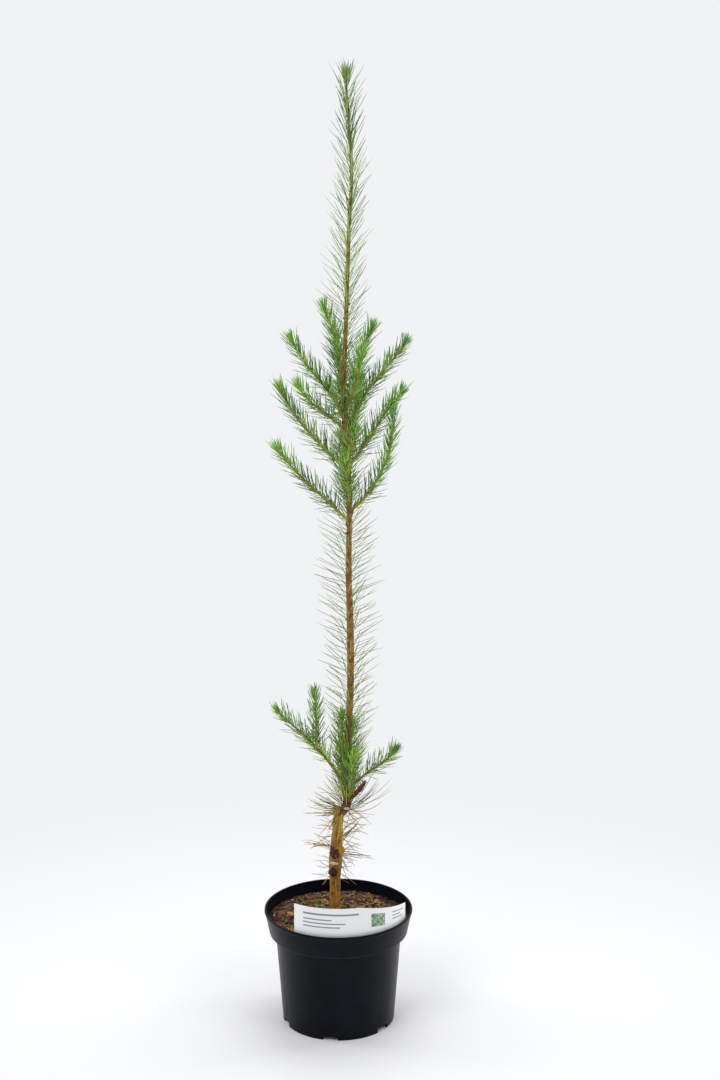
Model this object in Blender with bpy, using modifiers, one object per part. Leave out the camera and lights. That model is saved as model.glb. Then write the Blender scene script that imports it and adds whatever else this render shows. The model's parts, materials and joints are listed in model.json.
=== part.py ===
# Potted young japanese larch: a slim, upright tree in a round nursery pot.
# Metres, +Z up, origin at the middle of the pot's foot. The front is towards -Y.

import math
import random

import bmesh
import bpy
import numpy as np
from mathutils import Vector

NAME = "potted_japanese_larch"
GAP = 0.0003  # between neighbouring solids
SEED = 41

# Pot: a turned plastic shell with a tapering collar and a notched foot
POT_HEIGHT = 0.148
POT_RIM_RADIUS = 0.0943
POT_LIP_HEIGHT = 0.003
POT_LIP_OVERHANG = 0.001
POT_COLLAR_HEIGHT = 0.030
POT_COLLAR_FOOT_RADIUS = 0.0880
POT_SHOULDER_RADIUS = 0.0800
POT_SHOULDER_DROP = 0.0015
POT_FOOT_RADIUS = 0.0715
POT_WALL = 0.0014
POT_FOOT_WIDTH = 0.0028
POT_FLOOR_HEIGHT = 0.0072
POT_SIDES = 48
NOTCH_COUNT = 6
NOTCH_WIDTH = 0.019
NOTCH_HEIGHT = 0.006
NOTCH_TURN = math.radians(-98)  # the one that is nearest to the front
DRAIN_RADIUS = 0.0045
DRAIN_RING_RADIUS = 0.052
DRAIN_SIDES = 8
CUT_DEPTH = 0.014  # of the notches, inwards, and of the drains, through the floor

# Potting mix, level round the stem and a little lower at the wall
SOIL_TOP = 0.1365
SOIL_LEVEL_RADIUS = 0.022
SOIL_WALL_DROP = 0.003

# Card label, bent along the inside of the front wall. Angles run from the front to the right.
LABEL_RADIUS = 0.0890
LABEL_THICKNESS = 0.0006
LABEL_LEFT = math.radians(-37)
LABEL_RIGHT = math.radians(71)
LABEL_TOP = 0.1840
LABEL_TOP_RIGHT = 0.1670
LABEL_STEPS = 14

# Trunk: height, sideways place and radius of each station, from the cut at the soil to the top bud
TRUNK = (
    (SOIL_TOP + GAP, -0.0046, 0.0084),
    (0.150, -0.0044, 0.0069),
    (0.180, -0.0043, 0.0066),
    (0.204, -0.0038, 0.0080),
    (0.222, -0.0028, 0.0080),
    (0.248, -0.0014, 0.0066),
    (0.272, 0.0012, 0.0062),
    (0.284, 0.0100, 0.0056),
    (0.300, 0.0113, 0.0040),
    (0.345, 0.0113, 0.0036),
    (0.440, 0.0156, 0.0042),
    (0.530, 0.0152, 0.0042),
    (0.580, 0.0137, 0.0037),
    (0.680, 0.0145, 0.0033),
    (0.745, 0.0112, 0.0039),
    (0.800, 0.0079, 0.0029),
    (0.905, 0.0114, 0.0025),
    (1.000, 0.0145, 0.0022),
    (1.065, 0.0177, 0.0019),
    (1.110, 0.0154, 0.0017),
    (1.160, 0.0118, 0.0016),
    (1.170, 0.0115, 0.0007),
)
TRUNK_STEP = 0.022
TRUNK_ROUNDNESS = 2  # bevel resolution: 8 sides

# Crown: nothing reaches further than this from the pot's axis, or higher
REACH = 0.0925
CROWN_TOP = 1.197

# Side shoots: place on the trunk, azimuth from +X, rise at root, middle and tip, and length.
# Those with a bough have a bare foot of that length, and the needles start at its end.
SHOOTS = {
    "left_1": dict(height=0.649, azimuth=190, rise=(47, 44, 53), length=0.122, bough=0.022),
    "left_2": dict(height=0.711, azimuth=165, rise=(43, 46, 62), length=0.127, bough=0.022),
    "left_3": dict(height=0.759, azimuth=205, rise=(56, 36, 59), length=0.081, bough=0.018),
    "left_4": dict(height=0.796, azimuth=172, rise=(35, 49, 59), length=0.092, bough=0.018),
    "left_5": dict(height=0.815, azimuth=140, rise=(80, 73, 60), length=0.092, bough=0.022),
    "right_1": dict(height=0.662, azimuth=8, rise=(36, 66, 90), length=0.130, bough=0.022),
    "right_2": dict(height=0.720, azimuth=340, rise=(41, 58, 46), length=0.109, bough=0.020),
    "right_3": dict(height=0.748, azimuth=20, rise=(84, 52, 49), length=0.136, bough=0.026),
    "right_4": dict(height=0.782, azimuth=42, rise=(55, 72, 53), length=0.104, bough=0.020),
    "front_1": dict(height=0.772, azimuth=247, rise=(50, 42, 36), length=0.062, bough=0.012),
    "front_2": dict(height=0.787, azimuth=305, rise=(40, 64, 74), length=0.078, bough=0.014),
    "front_3": dict(height=0.722, azimuth=284, rise=(41, 46, 51), length=0.055, bough=0.012),
    "front_4": dict(height=0.672, azimuth=262, rise=(46, 62, 74), length=0.066, bough=0.014),
    "back_1": dict(height=0.655, azimuth=100, rise=(46, 50, 60), length=0.105, bough=0.020),
    "back_2": dict(height=0.728, azimuth=76, rise=(48, 54, 62), length=0.098, bough=0.020),
    "back_3": dict(height=0.788, azimuth=104, rise=(52, 60, 66), length=0.084, bough=0.016),
    "low_left": dict(height=0.299, azimuth=185, rise=(72, 50, 43), length=0.137, bough=0.072),
    "low_upright": dict(height=0.318, azimuth=150, rise=(66, 88, 88), length=0.078, bough=0.010),
    "low_right": dict(height=0.303, azimuth=350, rise=(60, 37, 50), length=0.078, bough=0.046),
    "low_front": dict(height=0.303, azimuth=288, rise=(51, 63, 75), length=0.056, bough=0.010),
    "low_back": dict(height=0.316, azimuth=80, rise=(52, 62, 74), length=0.066, bough=0.012),
}
SHOOT_POINTS = 60
WAY_OUT_STEPS = 10
BOUGH_RADII = (0.0020, 0.0017)
BOUGH_ROUNDNESS = 1  # 6 sides
FOOT_LENGTH = 0.0024
TWIG_RADII = (0.0018, 0.0012)
TWIG_SIDES = 4
TWIG_STEP = 0.014
FORK_RISE = (88, 90, 82)  # the upright shoot that starts beside the low left bough's tip
FORK_LENGTH = 0.064
FORK_SIDESTEP = 0.0042
FORK_AZIMUTH = 200
DEAD_SHOOT = dict(height=0.291, azimuth=325, rise=(34, 50, 55), length=0.040)
DEAD_SPACING = 0.0022
DEAD_SIZE = 0.24

# Needles: spikes of three sides, a little larger than life
NEEDLE_TURN = math.radians(137.5)
NEEDLE_SPACING = 0.0040
FIRST_NEEDLE = 0.35  # of a spacing from the twig's foot
NEEDLE_LENGTHS = (0.027, 0.023)
NEEDLE_RADIUS = 0.0008
NEEDLE_LEANS = (62, 38)
NEEDLE_LIFT = 0.22  # how much they bend upwards, against a length of one
TURN_SCATTER = 0.25
LEAN_SCATTER = 8
PLACE_SCATTER = (0.3, 0.7)  # where a needle stands in its own share of a strand
LENGTH_SCATTER = (0.85, 1.10)
SHORTER = (1.0, 0.82, 0.64)  # shares of its length that a needle may be cut to
TUFT_COUNT = 6
TUFT_LEAN = 24
TUFT_LENGTH = 0.017
TUFT_PLACE = 0.97

# Needles on the leader and the old stem stand out of a slim strand that winds up round the trunk
STRAND_RADIUS = 0.0014
STRAND_FAN = 0.5  # how far its needles swing aside from straight out
STRAND_SLACK = 0.0010  # for the trunk's lean and swelling between two points
STRAND_CHOICES = (0, -0.4, -0.8, -1.2, -1.6, -2)
STRANDS = {
    "leader_needles_top": dict(low=0.876, high=1.167, turn=50, rise=0.0056, count=96,
                               length=(0.042, 0.038), lean=(46, 24)),
    "leader_needles_crown": dict(low=0.655, high=0.868, turn=46, rise=0.0075, count=50,
                                 length=(0.034, 0.040), lean=(52, 46)),
    "leader_needles_middle": dict(low=0.404, high=0.640, turn=50, rise=0.0056, count=60,
                                  length=(0.042, 0.044), lean=(58, 66)),
    "leader_needles_low": dict(low=0.328, high=0.396, turn=46, rise=0.0075, count=24,
                               length=(0.034, 0.038), lean=(50, 52)),
    "stem_needles_high": dict(low=0.244, high=0.266, turn=48, rise=0.0030, count=26,
                              length=(0.036, 0.040), lean=(96, 58)),
    "stem_needles_low": dict(low=0.192, high=0.232, turn=48, rise=0.0050, count=26,
                             length=(0.034, 0.040), lean=(108, 62)),
}

COLOURS = {
    "pot": ((0.012, 0.013, 0.016), 0.38),
    "soil": ((0.060, 0.032, 0.018), 0.95),
    "label": ((0.86, 0.87, 0.88), 0.45),
    "trunk": ((0.300, 0.170, 0.055), 0.75),
    "bough": ((0.330, 0.200, 0.060), 0.75),
    "needles": ((0.130, 0.230, 0.060), 0.55),
    "leader": ((0.180, 0.290, 0.110), 0.55),
    "straw": ((0.560, 0.470, 0.170), 0.60),
    "dead": ((0.190, 0.055, 0.025), 0.85),
}


def clear_scene():
    for obj in list(bpy.data.objects):
        bpy.data.objects.remove(obj, do_unlink=True)


def new_collection(name):
    group = bpy.data.collections.new(name)
    bpy.context.scene.collection.children.link(group)
    return group


def material_for(name, finish):
    colour, roughness = COLOURS[finish]
    material = bpy.data.materials.new(name)
    material.use_nodes = True
    shader = material.node_tree.nodes["Principled BSDF"]
    shader.inputs["Base Color"].default_value = (*colour, 1.0)
    shader.inputs["Roughness"].default_value = roughness
    shader.inputs["Metallic"].default_value = 0.0
    return material


def add_object(name, data, group, finish=None):
    obj = bpy.data.objects.new(name, data)
    group.objects.link(obj)
    if finish:
        data.materials.clear()
        data.materials.append(material_for(name, finish))
    return obj


def baked_mesh(obj):
    # The object's mesh with its modifiers applied
    bpy.context.view_layer.update()
    graph = bpy.context.evaluated_depsgraph_get()
    return bpy.data.meshes.new_from_object(obj.evaluated_get(graph))


def smooth(mesh, angle=40):
    mesh.shade_smooth()
    mesh.set_sharp_from_angle(angle=math.radians(angle))


# Turned pieces

def turned(name, profile, group, finish):
    mesh = bpy.data.meshes.new(name)
    points = [(radius, 0.0, height) for radius, height in profile]
    mesh.from_pydata(points, [(i, i + 1) for i in range(len(points) - 1)], [])
    obj = add_object(name, mesh, group, finish)
    screw = obj.modifiers.new("turn", "SCREW")
    screw.steps = POT_SIDES
    screw.render_steps = POT_SIDES
    screw.use_merge_vertices = True
    screw.merge_threshold = 0.00005
    return obj


def foot_cutters(group):
    cutters = []
    for i in range(NOTCH_COUNT):
        turn = NOTCH_TURN + i * math.tau / NOTCH_COUNT
        out = Vector((math.cos(turn), math.sin(turn), 0))
        bpy.ops.mesh.primitive_cube_add(size=1, location=out * POT_FOOT_RADIUS)
        notch = bpy.context.object
        notch.scale = (CUT_DEPTH, NOTCH_WIDTH, 2 * NOTCH_HEIGHT)
        notch.rotation_euler.z = turn
        cutters.append(notch)
        bpy.ops.mesh.primitive_cylinder_add(
            vertices=DRAIN_SIDES,
            radius=DRAIN_RADIUS,
            depth=CUT_DEPTH,
            location=out * DRAIN_RING_RADIUS + Vector((0, 0, POT_FLOOR_HEIGHT)),
        )
        cutters.append(bpy.context.object)
    for cutter in cutters:
        for owner in list(cutter.users_collection):
            owner.objects.unlink(cutter)
        group.objects.link(cutter)
        cutter.hide_render = True
        cutter.display_type = "WIRE"


def collar_radius(height):
    # Outer radius of the collar, which tapers down from under the lip
    share = (POT_HEIGHT - POT_LIP_HEIGHT - height) / (POT_COLLAR_HEIGHT - POT_LIP_HEIGHT)
    top = POT_RIM_RADIUS - POT_LIP_OVERHANG
    return top + (POT_COLLAR_FOOT_RADIUS - top) * share


def make_pot(group, cutters):
    collar_foot = POT_HEIGHT - POT_COLLAR_HEIGHT
    lip_foot = POT_HEIGHT - POT_LIP_HEIGHT
    shoulder = collar_foot - POT_SHOULDER_DROP
    floor_top = POT_FLOOR_HEIGHT + POT_WALL
    profile = [
        (0.0, floor_top),
        (POT_FOOT_RADIUS - POT_WALL, floor_top),
        (POT_SHOULDER_RADIUS - POT_WALL, shoulder),
        (POT_COLLAR_FOOT_RADIUS - POT_WALL, collar_foot + POT_WALL),
        (collar_radius(lip_foot) - POT_WALL, lip_foot),
        (POT_RIM_RADIUS - 2 * POT_WALL, POT_HEIGHT),
        (POT_RIM_RADIUS - POT_LIP_OVERHANG / 2, POT_HEIGHT),
        (POT_RIM_RADIUS, POT_HEIGHT - POT_LIP_OVERHANG),
        (POT_RIM_RADIUS, lip_foot),
        (collar_radius(lip_foot), lip_foot - POT_LIP_OVERHANG),
        (POT_COLLAR_FOOT_RADIUS, collar_foot),
        (POT_SHOULDER_RADIUS, shoulder),
        (POT_FOOT_RADIUS, 0.0),
        (POT_FOOT_RADIUS - POT_FOOT_WIDTH, 0.0),
        (POT_FOOT_RADIUS - POT_FOOT_WIDTH, POT_FLOOR_HEIGHT),
        (0.0, POT_FLOOR_HEIGHT),
    ]
    pot = turned("pot", profile, group, "pot")
    foot_cutters(cutters)
    cut = pot.modifiers.new("notches and drains", "BOOLEAN")
    cut.operation = "DIFFERENCE"
    cut.operand_type = "COLLECTION"
    cut.collection = cutters
    cut.solver = "EXACT"


def make_soil(group):
    # It keeps the gap to the pot's floor and wall, and its top is the ground that the trunk stands on
    collar_foot = POT_HEIGHT - POT_COLLAR_HEIGHT
    wall = POT_WALL + GAP / math.cos(math.pi / POT_SIDES)
    floor = POT_FLOOR_HEIGHT + POT_WALL + GAP
    wall_top = SOIL_TOP - SOIL_WALL_DROP
    profile = [
        (0.0, SOIL_TOP),
        (SOIL_LEVEL_RADIUS, SOIL_TOP),
        (2 * SOIL_LEVEL_RADIUS, SOIL_TOP - SOIL_WALL_DROP / 3),
        (3 * SOIL_LEVEL_RADIUS, SOIL_TOP - SOIL_WALL_DROP / 2),
        (collar_radius(wall_top) - wall - GAP, wall_top),
        (POT_COLLAR_FOOT_RADIUS - wall, collar_foot + POT_WALL + GAP),
        (POT_SHOULDER_RADIUS - wall, collar_foot - POT_SHOULDER_DROP),
        (POT_FOOT_RADIUS - wall, floor),
        (0.0, floor),
    ]
    turned("soil", profile, group, "soil")


def make_label(group):
    cells = bmesh.new()
    bmesh.ops.create_grid(cells, x_segments=LABEL_STEPS, y_segments=1, size=0.5)
    for vertex in cells.verts:
        share = vertex.co.x + 0.5
        angle = LABEL_LEFT + (LABEL_RIGHT - LABEL_LEFT) * share
        drop = max(0.0, share - 0.5) * 2
        height = LABEL_TOP + (LABEL_TOP_RIGHT - LABEL_TOP) * drop
        if vertex.co.y < 0:
            height = SOIL_TOP + GAP
        vertex.co = (LABEL_RADIUS * math.sin(angle), -LABEL_RADIUS * math.cos(angle), height)
    mesh = bpy.data.meshes.new("label")
    cells.to_mesh(mesh)
    cells.free()
    label = add_object("label", mesh, group, "label")
    shell = label.modifiers.new("card", "SOLIDIFY")
    shell.thickness = LABEL_THICKNESS
    shell.offset = 0.0
    smooth(mesh)


# Limbs

class Space:
    # The limbs, twigs and needles placed so far, as rods that a new one has to keep clear of

    def __init__(self):
        self.starts = np.zeros((0, 3))
        self.ends = np.zeros((0, 3))
        self.radii = np.zeros(0)
        self.owners = np.zeros(0, dtype=object)

    def add(self, owner, points, radii):
        spots = np.array([tuple(point) for point in points])
        self.starts = np.vstack([self.starts, spots[:-1]])
        self.ends = np.vstack([self.ends, spots[1:]])
        widths = np.maximum(np.array(radii[:-1]), np.array(radii[1:]))
        self.radii = np.concatenate([self.radii, widths])
        self.owners = np.concatenate([self.owners, np.array([owner] * len(widths), dtype=object)])

    def room(self, owner, start, end, radius):
        # The least gap between this rod and those of the others
        others = self.owners != owner
        if not others.any():
            return math.inf
        gaps = rod_distances(np.array(start), np.array(end), self.starts[others], self.ends[others])
        return float((gaps - self.radii[others]).min()) - radius


def rod_distances(start, end, starts, ends):
    # Least distances from one straight rod to many, by their closest points
    first = end - start
    second = ends - starts
    between = start - starts
    a = max(float(first @ first), 1e-18)
    e = np.maximum((second * second).sum(axis=1), 1e-18)
    b = second @ first
    c = between @ first
    f = (second * between).sum(axis=1)
    spread = a * e - b * b
    along = np.where(spread > 1e-20, np.clip((b * f - c * e) / np.maximum(spread, 1e-20), 0, 1), 0.0)
    across = (b * along + f) / e
    along = np.where(across < 0, np.clip(-c / a, 0, 1), along)
    along = np.where(across > 1, np.clip((b - c) / a, 0, 1), along)
    across = np.clip(across, 0, 1)
    apart = between + along[:, None] * first - across[:, None] * second
    return np.sqrt((apart * apart).sum(axis=1))


def trunk_line():
    # A smooth line through the stations, with a point at each and a few between
    heights = [station[0] for station in TRUNK]
    points = []
    radii = []
    for i in range(len(TRUNK) - 1):
        steps = max(1, round((heights[i + 1] - heights[i]) / TRUNK_STEP))
        for k in range(steps):
            share = k / steps
            points.append(Vector((between_stations(i, share, 1), 0.0, between_stations(i, share, 0))))
            radii.append(between_stations(i, share, 2))
    top, side, radius = TRUNK[-1]
    points.append(Vector((side, 0.0, top)))
    radii.append(radius)
    return points, radii


def between_stations(i, share, column):
    # Hermite curve from station i to the next, with slopes taken over height
    here, after = TRUNK[i], TRUNK[i + 1]
    if column == 0:
        return here[0] + (after[0] - here[0]) * share
    span = after[0] - here[0]
    slopes = []
    for k in (i, i + 1):
        low = TRUNK[max(k - 1, 0)]
        high = TRUNK[min(k + 1, len(TRUNK) - 1)]
        slopes.append(0.0 if k == 0 else (high[column] - low[column]) / (high[0] - low[0]))
    square, cube = share * share, share ** 3
    return (
        (2 * cube - 3 * square + 1) * here[column]
        + (cube - 2 * square + share) * span * slopes[0]
        + (3 * square - 2 * cube) * after[column]
        + (cube - square) * span * slopes[1]
    )


def trunk_at(height):
    # Sideways place and radius of the trunk at a height
    for i in range(len(TRUNK) - 1):
        if TRUNK[i][0] <= height <= TRUNK[i + 1][0]:
            share = (height - TRUNK[i][0]) / (TRUNK[i + 1][0] - TRUNK[i][0])
            return between_stations(i, share, 1), between_stations(i, share, 2)
    return TRUNK[-1][1], TRUNK[-1][2]


def limb(name, points, radii, group, finish, roundness):
    # A tapering tube with filled ends
    curve = bpy.data.curves.new(name, "CURVE")
    curve.dimensions = "3D"
    curve.bevel_depth = 1.0
    curve.bevel_resolution = roundness
    curve.use_fill_caps = True
    spline = curve.splines.new("POLY")
    spline.points.add(len(points) - 1)
    for spot, point, radius in zip(spline.points, points, radii):
        spot.co = (*point, 1.0)
        spot.radius = radius
    return add_object(name, curve, group, finish)


def shoot_line(root, azimuth, rise, length):
    # Points along a shoot that leaves its root at the first rise and ends at the last
    low, middle, high = rise
    turn = math.radians(azimuth)
    points = [Vector(root)]
    for i in range(SHOOT_POINTS):
        s = (i + 0.5) / SHOOT_POINTS
        angle = low * (1 - s) * (1 - 2 * s) + middle * 4 * s * (1 - s) + high * s * (2 * s - 1)
        up = math.radians(angle)
        way = Vector((math.cos(up) * math.cos(turn), math.cos(up) * math.sin(turn), math.sin(up)))
        points.append(points[-1] + way * (length / SHOOT_POINTS))
    return points


def stretch(points, start, end):
    # The part of a line between two lengths along it, with points a twig step apart
    spots = np.array([tuple(point) for point in points])
    along = np.concatenate([[0.0], np.cumsum(np.linalg.norm(np.diff(spots, axis=0), axis=1))])
    end = min(end, along[-1])
    steps = max(2, round((end - start) / TWIG_STEP))
    marks = np.linspace(start, end, steps + 1)
    return [Vector([float(np.interp(mark, along, spots[:, k])) for k in range(3)]) for mark in marks]


def way_out(points, margin):
    # The length along a shoot at which it is this far out of the trunk
    walked = 0.0
    for before, after in zip(points, points[1:]):
        for k in range(WAY_OUT_STEPS):
            spot = before.lerp(after, k / WAY_OUT_STEPS)
            side, radius = trunk_at(spot.z)
            if math.hypot(spot.x - side, spot.y) > radius + margin:
                return walked + (after - before).length * k / WAY_OUT_STEPS
        walked += (after - before).length
    return walked


def rooted(line, end):
    # A limb's points, from a flat foot that faces the trunk across the gap, where it bends into its rise
    collar = stretch(line, way_out(line, FOOT_LENGTH), end)
    side, radius = trunk_at(collar[0].z)
    out = Vector((collar[0].x - side, collar[0].y, 0)).normalized()
    foot = Vector((side, 0, collar[0].z)) + out * (radius + GAP)
    return [foot] + collar


# Needles

def twig_mesh(points, radii, sides):
    # A tapering twig: a ring of corners at each point, and closed ends
    shape = bmesh.new()
    rings = []
    side = None
    for i, point in enumerate(points):
        ahead = points[min(i + 1, len(points) - 1)] - points[max(i - 1, 0)]
        ahead.normalize()
        side = (side or ahead.orthogonal()).normalized()
        side = (side - ahead * side.dot(ahead)).normalized()
        other = ahead.cross(side)
        ring = []
        for k in range(sides):
            turn = math.tau * k / sides
            offset = (side * math.cos(turn) + other * math.sin(turn)) * radii[i]
            ring.append(shape.verts.new(point + offset))
        rings.append(ring)
    for lower, upper in zip(rings, rings[1:]):
        for k in range(sides):
            after = (k + 1) % sides
            shape.faces.new((lower[k], lower[after], upper[after], upper[k]))
    shape.faces.new(list(reversed(rings[0])))
    shape.faces.new(rings[-1])
    mesh = bpy.data.meshes.new("twig")
    shape.to_mesh(mesh)
    shape.free()
    return mesh


def needle_mesh(root, way, length, radius):
    shape = bmesh.new()
    bmesh.ops.create_cone(
        shape, cap_ends=True, segments=3, radius1=radius, radius2=0.0, depth=length
    )
    turn = way.to_track_quat("Z", "Y")
    for vertex in shape.verts:
        vertex.co = turn @ (vertex.co + Vector((0, 0, length / 2))) + root
    mesh = bpy.data.meshes.new("needle")
    shape.to_mesh(mesh)
    shape.free()
    return mesh


def inside_crown(tip):
    return abs(tip.x) < REACH and abs(tip.y) < REACH and tip.z < CROWN_TOP


def place_needle(space, name, root, way, length, radius):
    # Shortened where it would touch a neighbour or leave the crown, and left out where that isn't enough
    for share in SHORTER:
        tip = root + way * (length * share)
        if inside_crown(tip) and space.room(name, root, tip, radius) > GAP:
            space.add(name, [root, tip], [radius, radius])
            return length * share
    return 0.0


def fuse(name, core, needles, group, finish):
    # One union joins the core and its needles, which then go
    pieces = new_collection(name + " pieces")
    for mesh in needles:
        add_object("needle", mesh, pieces)
    mass = add_object(name, core, group, finish)
    join = mass.modifiers.new("fuse", "BOOLEAN")
    join.operation = "UNION"
    join.operand_type = "COLLECTION"
    join.collection = pieces
    join.solver = "EXACT"
    mass.data = baked_mesh(mass)
    mass.modifiers.clear()
    for obj in list(pieces.objects):
        bpy.data.objects.remove(obj, do_unlink=True)
    bpy.data.collections.remove(pieces)
    for leftover in [mesh for mesh in bpy.data.meshes if mesh.users == 0]:
        bpy.data.meshes.remove(leftover)


def grow_shoot(space, name, points, radii, group, finish, spacing=NEEDLE_SPACING, size=1.0):
    # Needles in a spiral round a twig, leaning further forward towards its tip, and a tuft at the end
    rule = random.Random(f"{SEED} {name}")
    lengths = [(b - a).length for a, b in zip(points, points[1:])]
    total = sum(lengths)
    count = max(TUFT_COUNT, round(total / spacing))
    needles = []
    for i in range(count + TUFT_COUNT):
        in_tuft = i >= count
        share = TUFT_PLACE if in_tuft else (i + FIRST_NEEDLE) / count
        root, ahead = along_twig(points, lengths, share * total)
        side = ahead.orthogonal().normalized()
        turn = i * NEEDLE_TURN + rule.uniform(-TURN_SCATTER, TURN_SCATTER)
        out = side * math.cos(turn) + ahead.cross(side) * math.sin(turn)
        lean = TUFT_LEAN if in_tuft else between(NEEDLE_LEANS, share)
        lean = math.radians(lean + rule.uniform(-LEAN_SCATTER, LEAN_SCATTER))
        way = ahead * math.cos(lean) + out * math.sin(lean) + Vector((0, 0, NEEDLE_LIFT))
        way.normalize()
        length = TUFT_LENGTH if in_tuft else between(NEEDLE_LENGTHS, share)
        length *= size * rule.uniform(*LENGTH_SCATTER)
        length = place_needle(space, name, root, way, length, NEEDLE_RADIUS)
        if length:
            needles.append(needle_mesh(root, way, length, NEEDLE_RADIUS))
    fuse(name, twig_mesh(points, radii, TWIG_SIDES), needles, group, finish)


def along_twig(points, lengths, distance):
    for a, b, length in zip(points, points[1:], lengths):
        if distance <= length:
            return a.lerp(b, distance / length), (b - a).normalized()
        distance -= length
    return points[-1].copy(), (points[-1] - points[-2]).normalized()


def strand_line(space, name, low, high, turn, rise):
    # A line that winds up round the trunk, turning less or back where a bough is in its way
    azimuth = random.Random(f"{SEED} {name}").uniform(0, 360)
    points = wind_up(space, name, None, low, high, azimuth, turn, rise)
    if points is None:
        raise ValueError(f"{name} finds no way past the boughs")
    return points


def wind_up(space, name, before, height, high, azimuth, turn, rise):
    # The rest of the line above this height, or nothing where every way on is blocked
    if height > high:
        return []
    for change in STRAND_CHOICES:
        angle = math.radians(azimuth + change * turn)
        side, radius = trunk_at(height)
        away = (radius + GAP + STRAND_RADIUS) / math.cos(math.radians(turn) / 2) + STRAND_SLACK
        spot = Vector((side + away * math.cos(angle), away * math.sin(angle), height))
        if before is None or space.room(name, before, spot, STRAND_RADIUS) > GAP:
            rest = wind_up(space, name, spot, height + rise, high, math.degrees(angle) + turn, turn, rise)
            if rest is not None:
                return [spot] + rest
    return None


def grow_strand(space, name, points, group, finish, count, length, lean):
    # Needles that stand out of a strand, away from the trunk
    rule = random.Random(f"{SEED} {name} needles")
    lengths = [(b - a).length for a, b in zip(points, points[1:])]
    total = sum(lengths)
    needles = []
    for i in range(count):
        share = (i + rule.uniform(*PLACE_SCATTER)) / count
        root, _ = along_twig(points, lengths, share * total)
        side, _ = trunk_at(root.z)
        out = Vector((root.x - side, root.y, 0)).normalized()
        out += Vector((-out.y, out.x, 0)) * rule.uniform(-STRAND_FAN, STRAND_FAN)
        angle = math.radians(between(lean, share) + rule.uniform(-LEAN_SCATTER, LEAN_SCATTER))
        way = out.normalized() * math.sin(angle) + Vector((0, 0, math.cos(angle)))
        reach = between(length, share) * rule.uniform(*LENGTH_SCATTER)
        reach = place_needle(space, name, root, way, reach, NEEDLE_RADIUS)
        if reach:
            needles.append(needle_mesh(root, way, reach, NEEDLE_RADIUS))
    radii = [STRAND_RADIUS] * len(points)
    fuse(name, twig_mesh(points, radii, TWIG_SIDES), needles, group, finish)


def between(ends, share):
    return ends[0] + (ends[1] - ends[0]) * share


def taper(points, radii):
    last = len(points) - 1
    return [between(radii, i / last) for i in range(last + 1)]


def make_trunk(space, group):
    points, radii = trunk_line()
    limb("trunk", points, radii, group, "trunk", TRUNK_ROUNDNESS)
    space.add("trunk", points, radii)


def make_boughs(space, group):
    # The bare foot of each shoot. It returns the line that is left for the needles.
    lines = {}
    for name, shoot in SHOOTS.items():
        side, _ = trunk_at(shoot["height"])
        line = shoot_line((side, 0.0, shoot["height"]), shoot["azimuth"], shoot["rise"], shoot["length"])
        end = way_out(line, FOOT_LENGTH) + shoot["bough"]
        points = rooted(line, end)
        radii = taper(points, BOUGH_RADII)
        limb("bough_" + name, points, radii, group, "bough", BOUGH_ROUNDNESS)
        space.add("bough_" + name, points, radii)
        lines["needles_" + name] = stretch(line, end + GAP, shoot["length"])
    return lines


def fork_line(lines):
    # The upright shoot beside the tip of the low left bough
    root = lines["needles_low_left"][0] + Vector((0, -FORK_SIDESTEP, 0))
    return stretch(shoot_line(root, FORK_AZIMUTH, FORK_RISE, FORK_LENGTH), 0.0, FORK_LENGTH)


def dead_line():
    side, _ = trunk_at(DEAD_SHOOT["height"])
    root = (side, 0.0, DEAD_SHOOT["height"])
    line = shoot_line(root, DEAD_SHOOT["azimuth"], DEAD_SHOOT["rise"], DEAD_SHOOT["length"])
    return rooted(line, DEAD_SHOOT["length"])


def make_masses(space, lines, group):
    # Every twig and strand takes its place before the first needle does
    lines["needles_low_left_upright"] = fork_line(lines)
    for name, points in lines.items():
        space.add(name, points, taper(points, TWIG_RADII))
    dead = dead_line()
    space.add("dead_shoot", dead, taper(dead, BOUGH_RADII))
    winding = {}
    for name, strand in STRANDS.items():
        points = strand_line(space, name, strand["low"], strand["high"], strand["turn"], strand["rise"])
        space.add(name, points, [STRAND_RADIUS] * len(points))
        winding[name] = points
    grow_shoot(space, "dead_shoot", dead, taper(dead, BOUGH_RADII), group, "dead", DEAD_SPACING, DEAD_SIZE)
    for name, points in lines.items():
        grow_shoot(space, name, points, taper(points, TWIG_RADII), group, "needles")
    for name, strand in STRANDS.items():
        finish = "straw" if name.startswith("stem") else "leader"
        shape = [strand[key] for key in ("count", "length", "lean")]
        grow_strand(space, name, winding[name], group, finish, *shape)


def main():
    clear_scene()
    parts = new_collection(NAME)
    cutters = new_collection("cutters")
    make_pot(parts, cutters)
    make_soil(parts)
    make_label(parts)
    space = Space()
    make_trunk(space, parts)
    lines = make_boughs(space, parts)
    make_masses(space, lines, parts)
    for obj in parts.objects:
        if obj.type == "MESH":
            smooth(obj.data)


main()
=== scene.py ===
# Young japanese larch in a black nursery pot, dressed for a studio picture
import json
import math
import random

import bmesh
import bpy
import numpy as np
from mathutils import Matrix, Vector, noise

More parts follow.
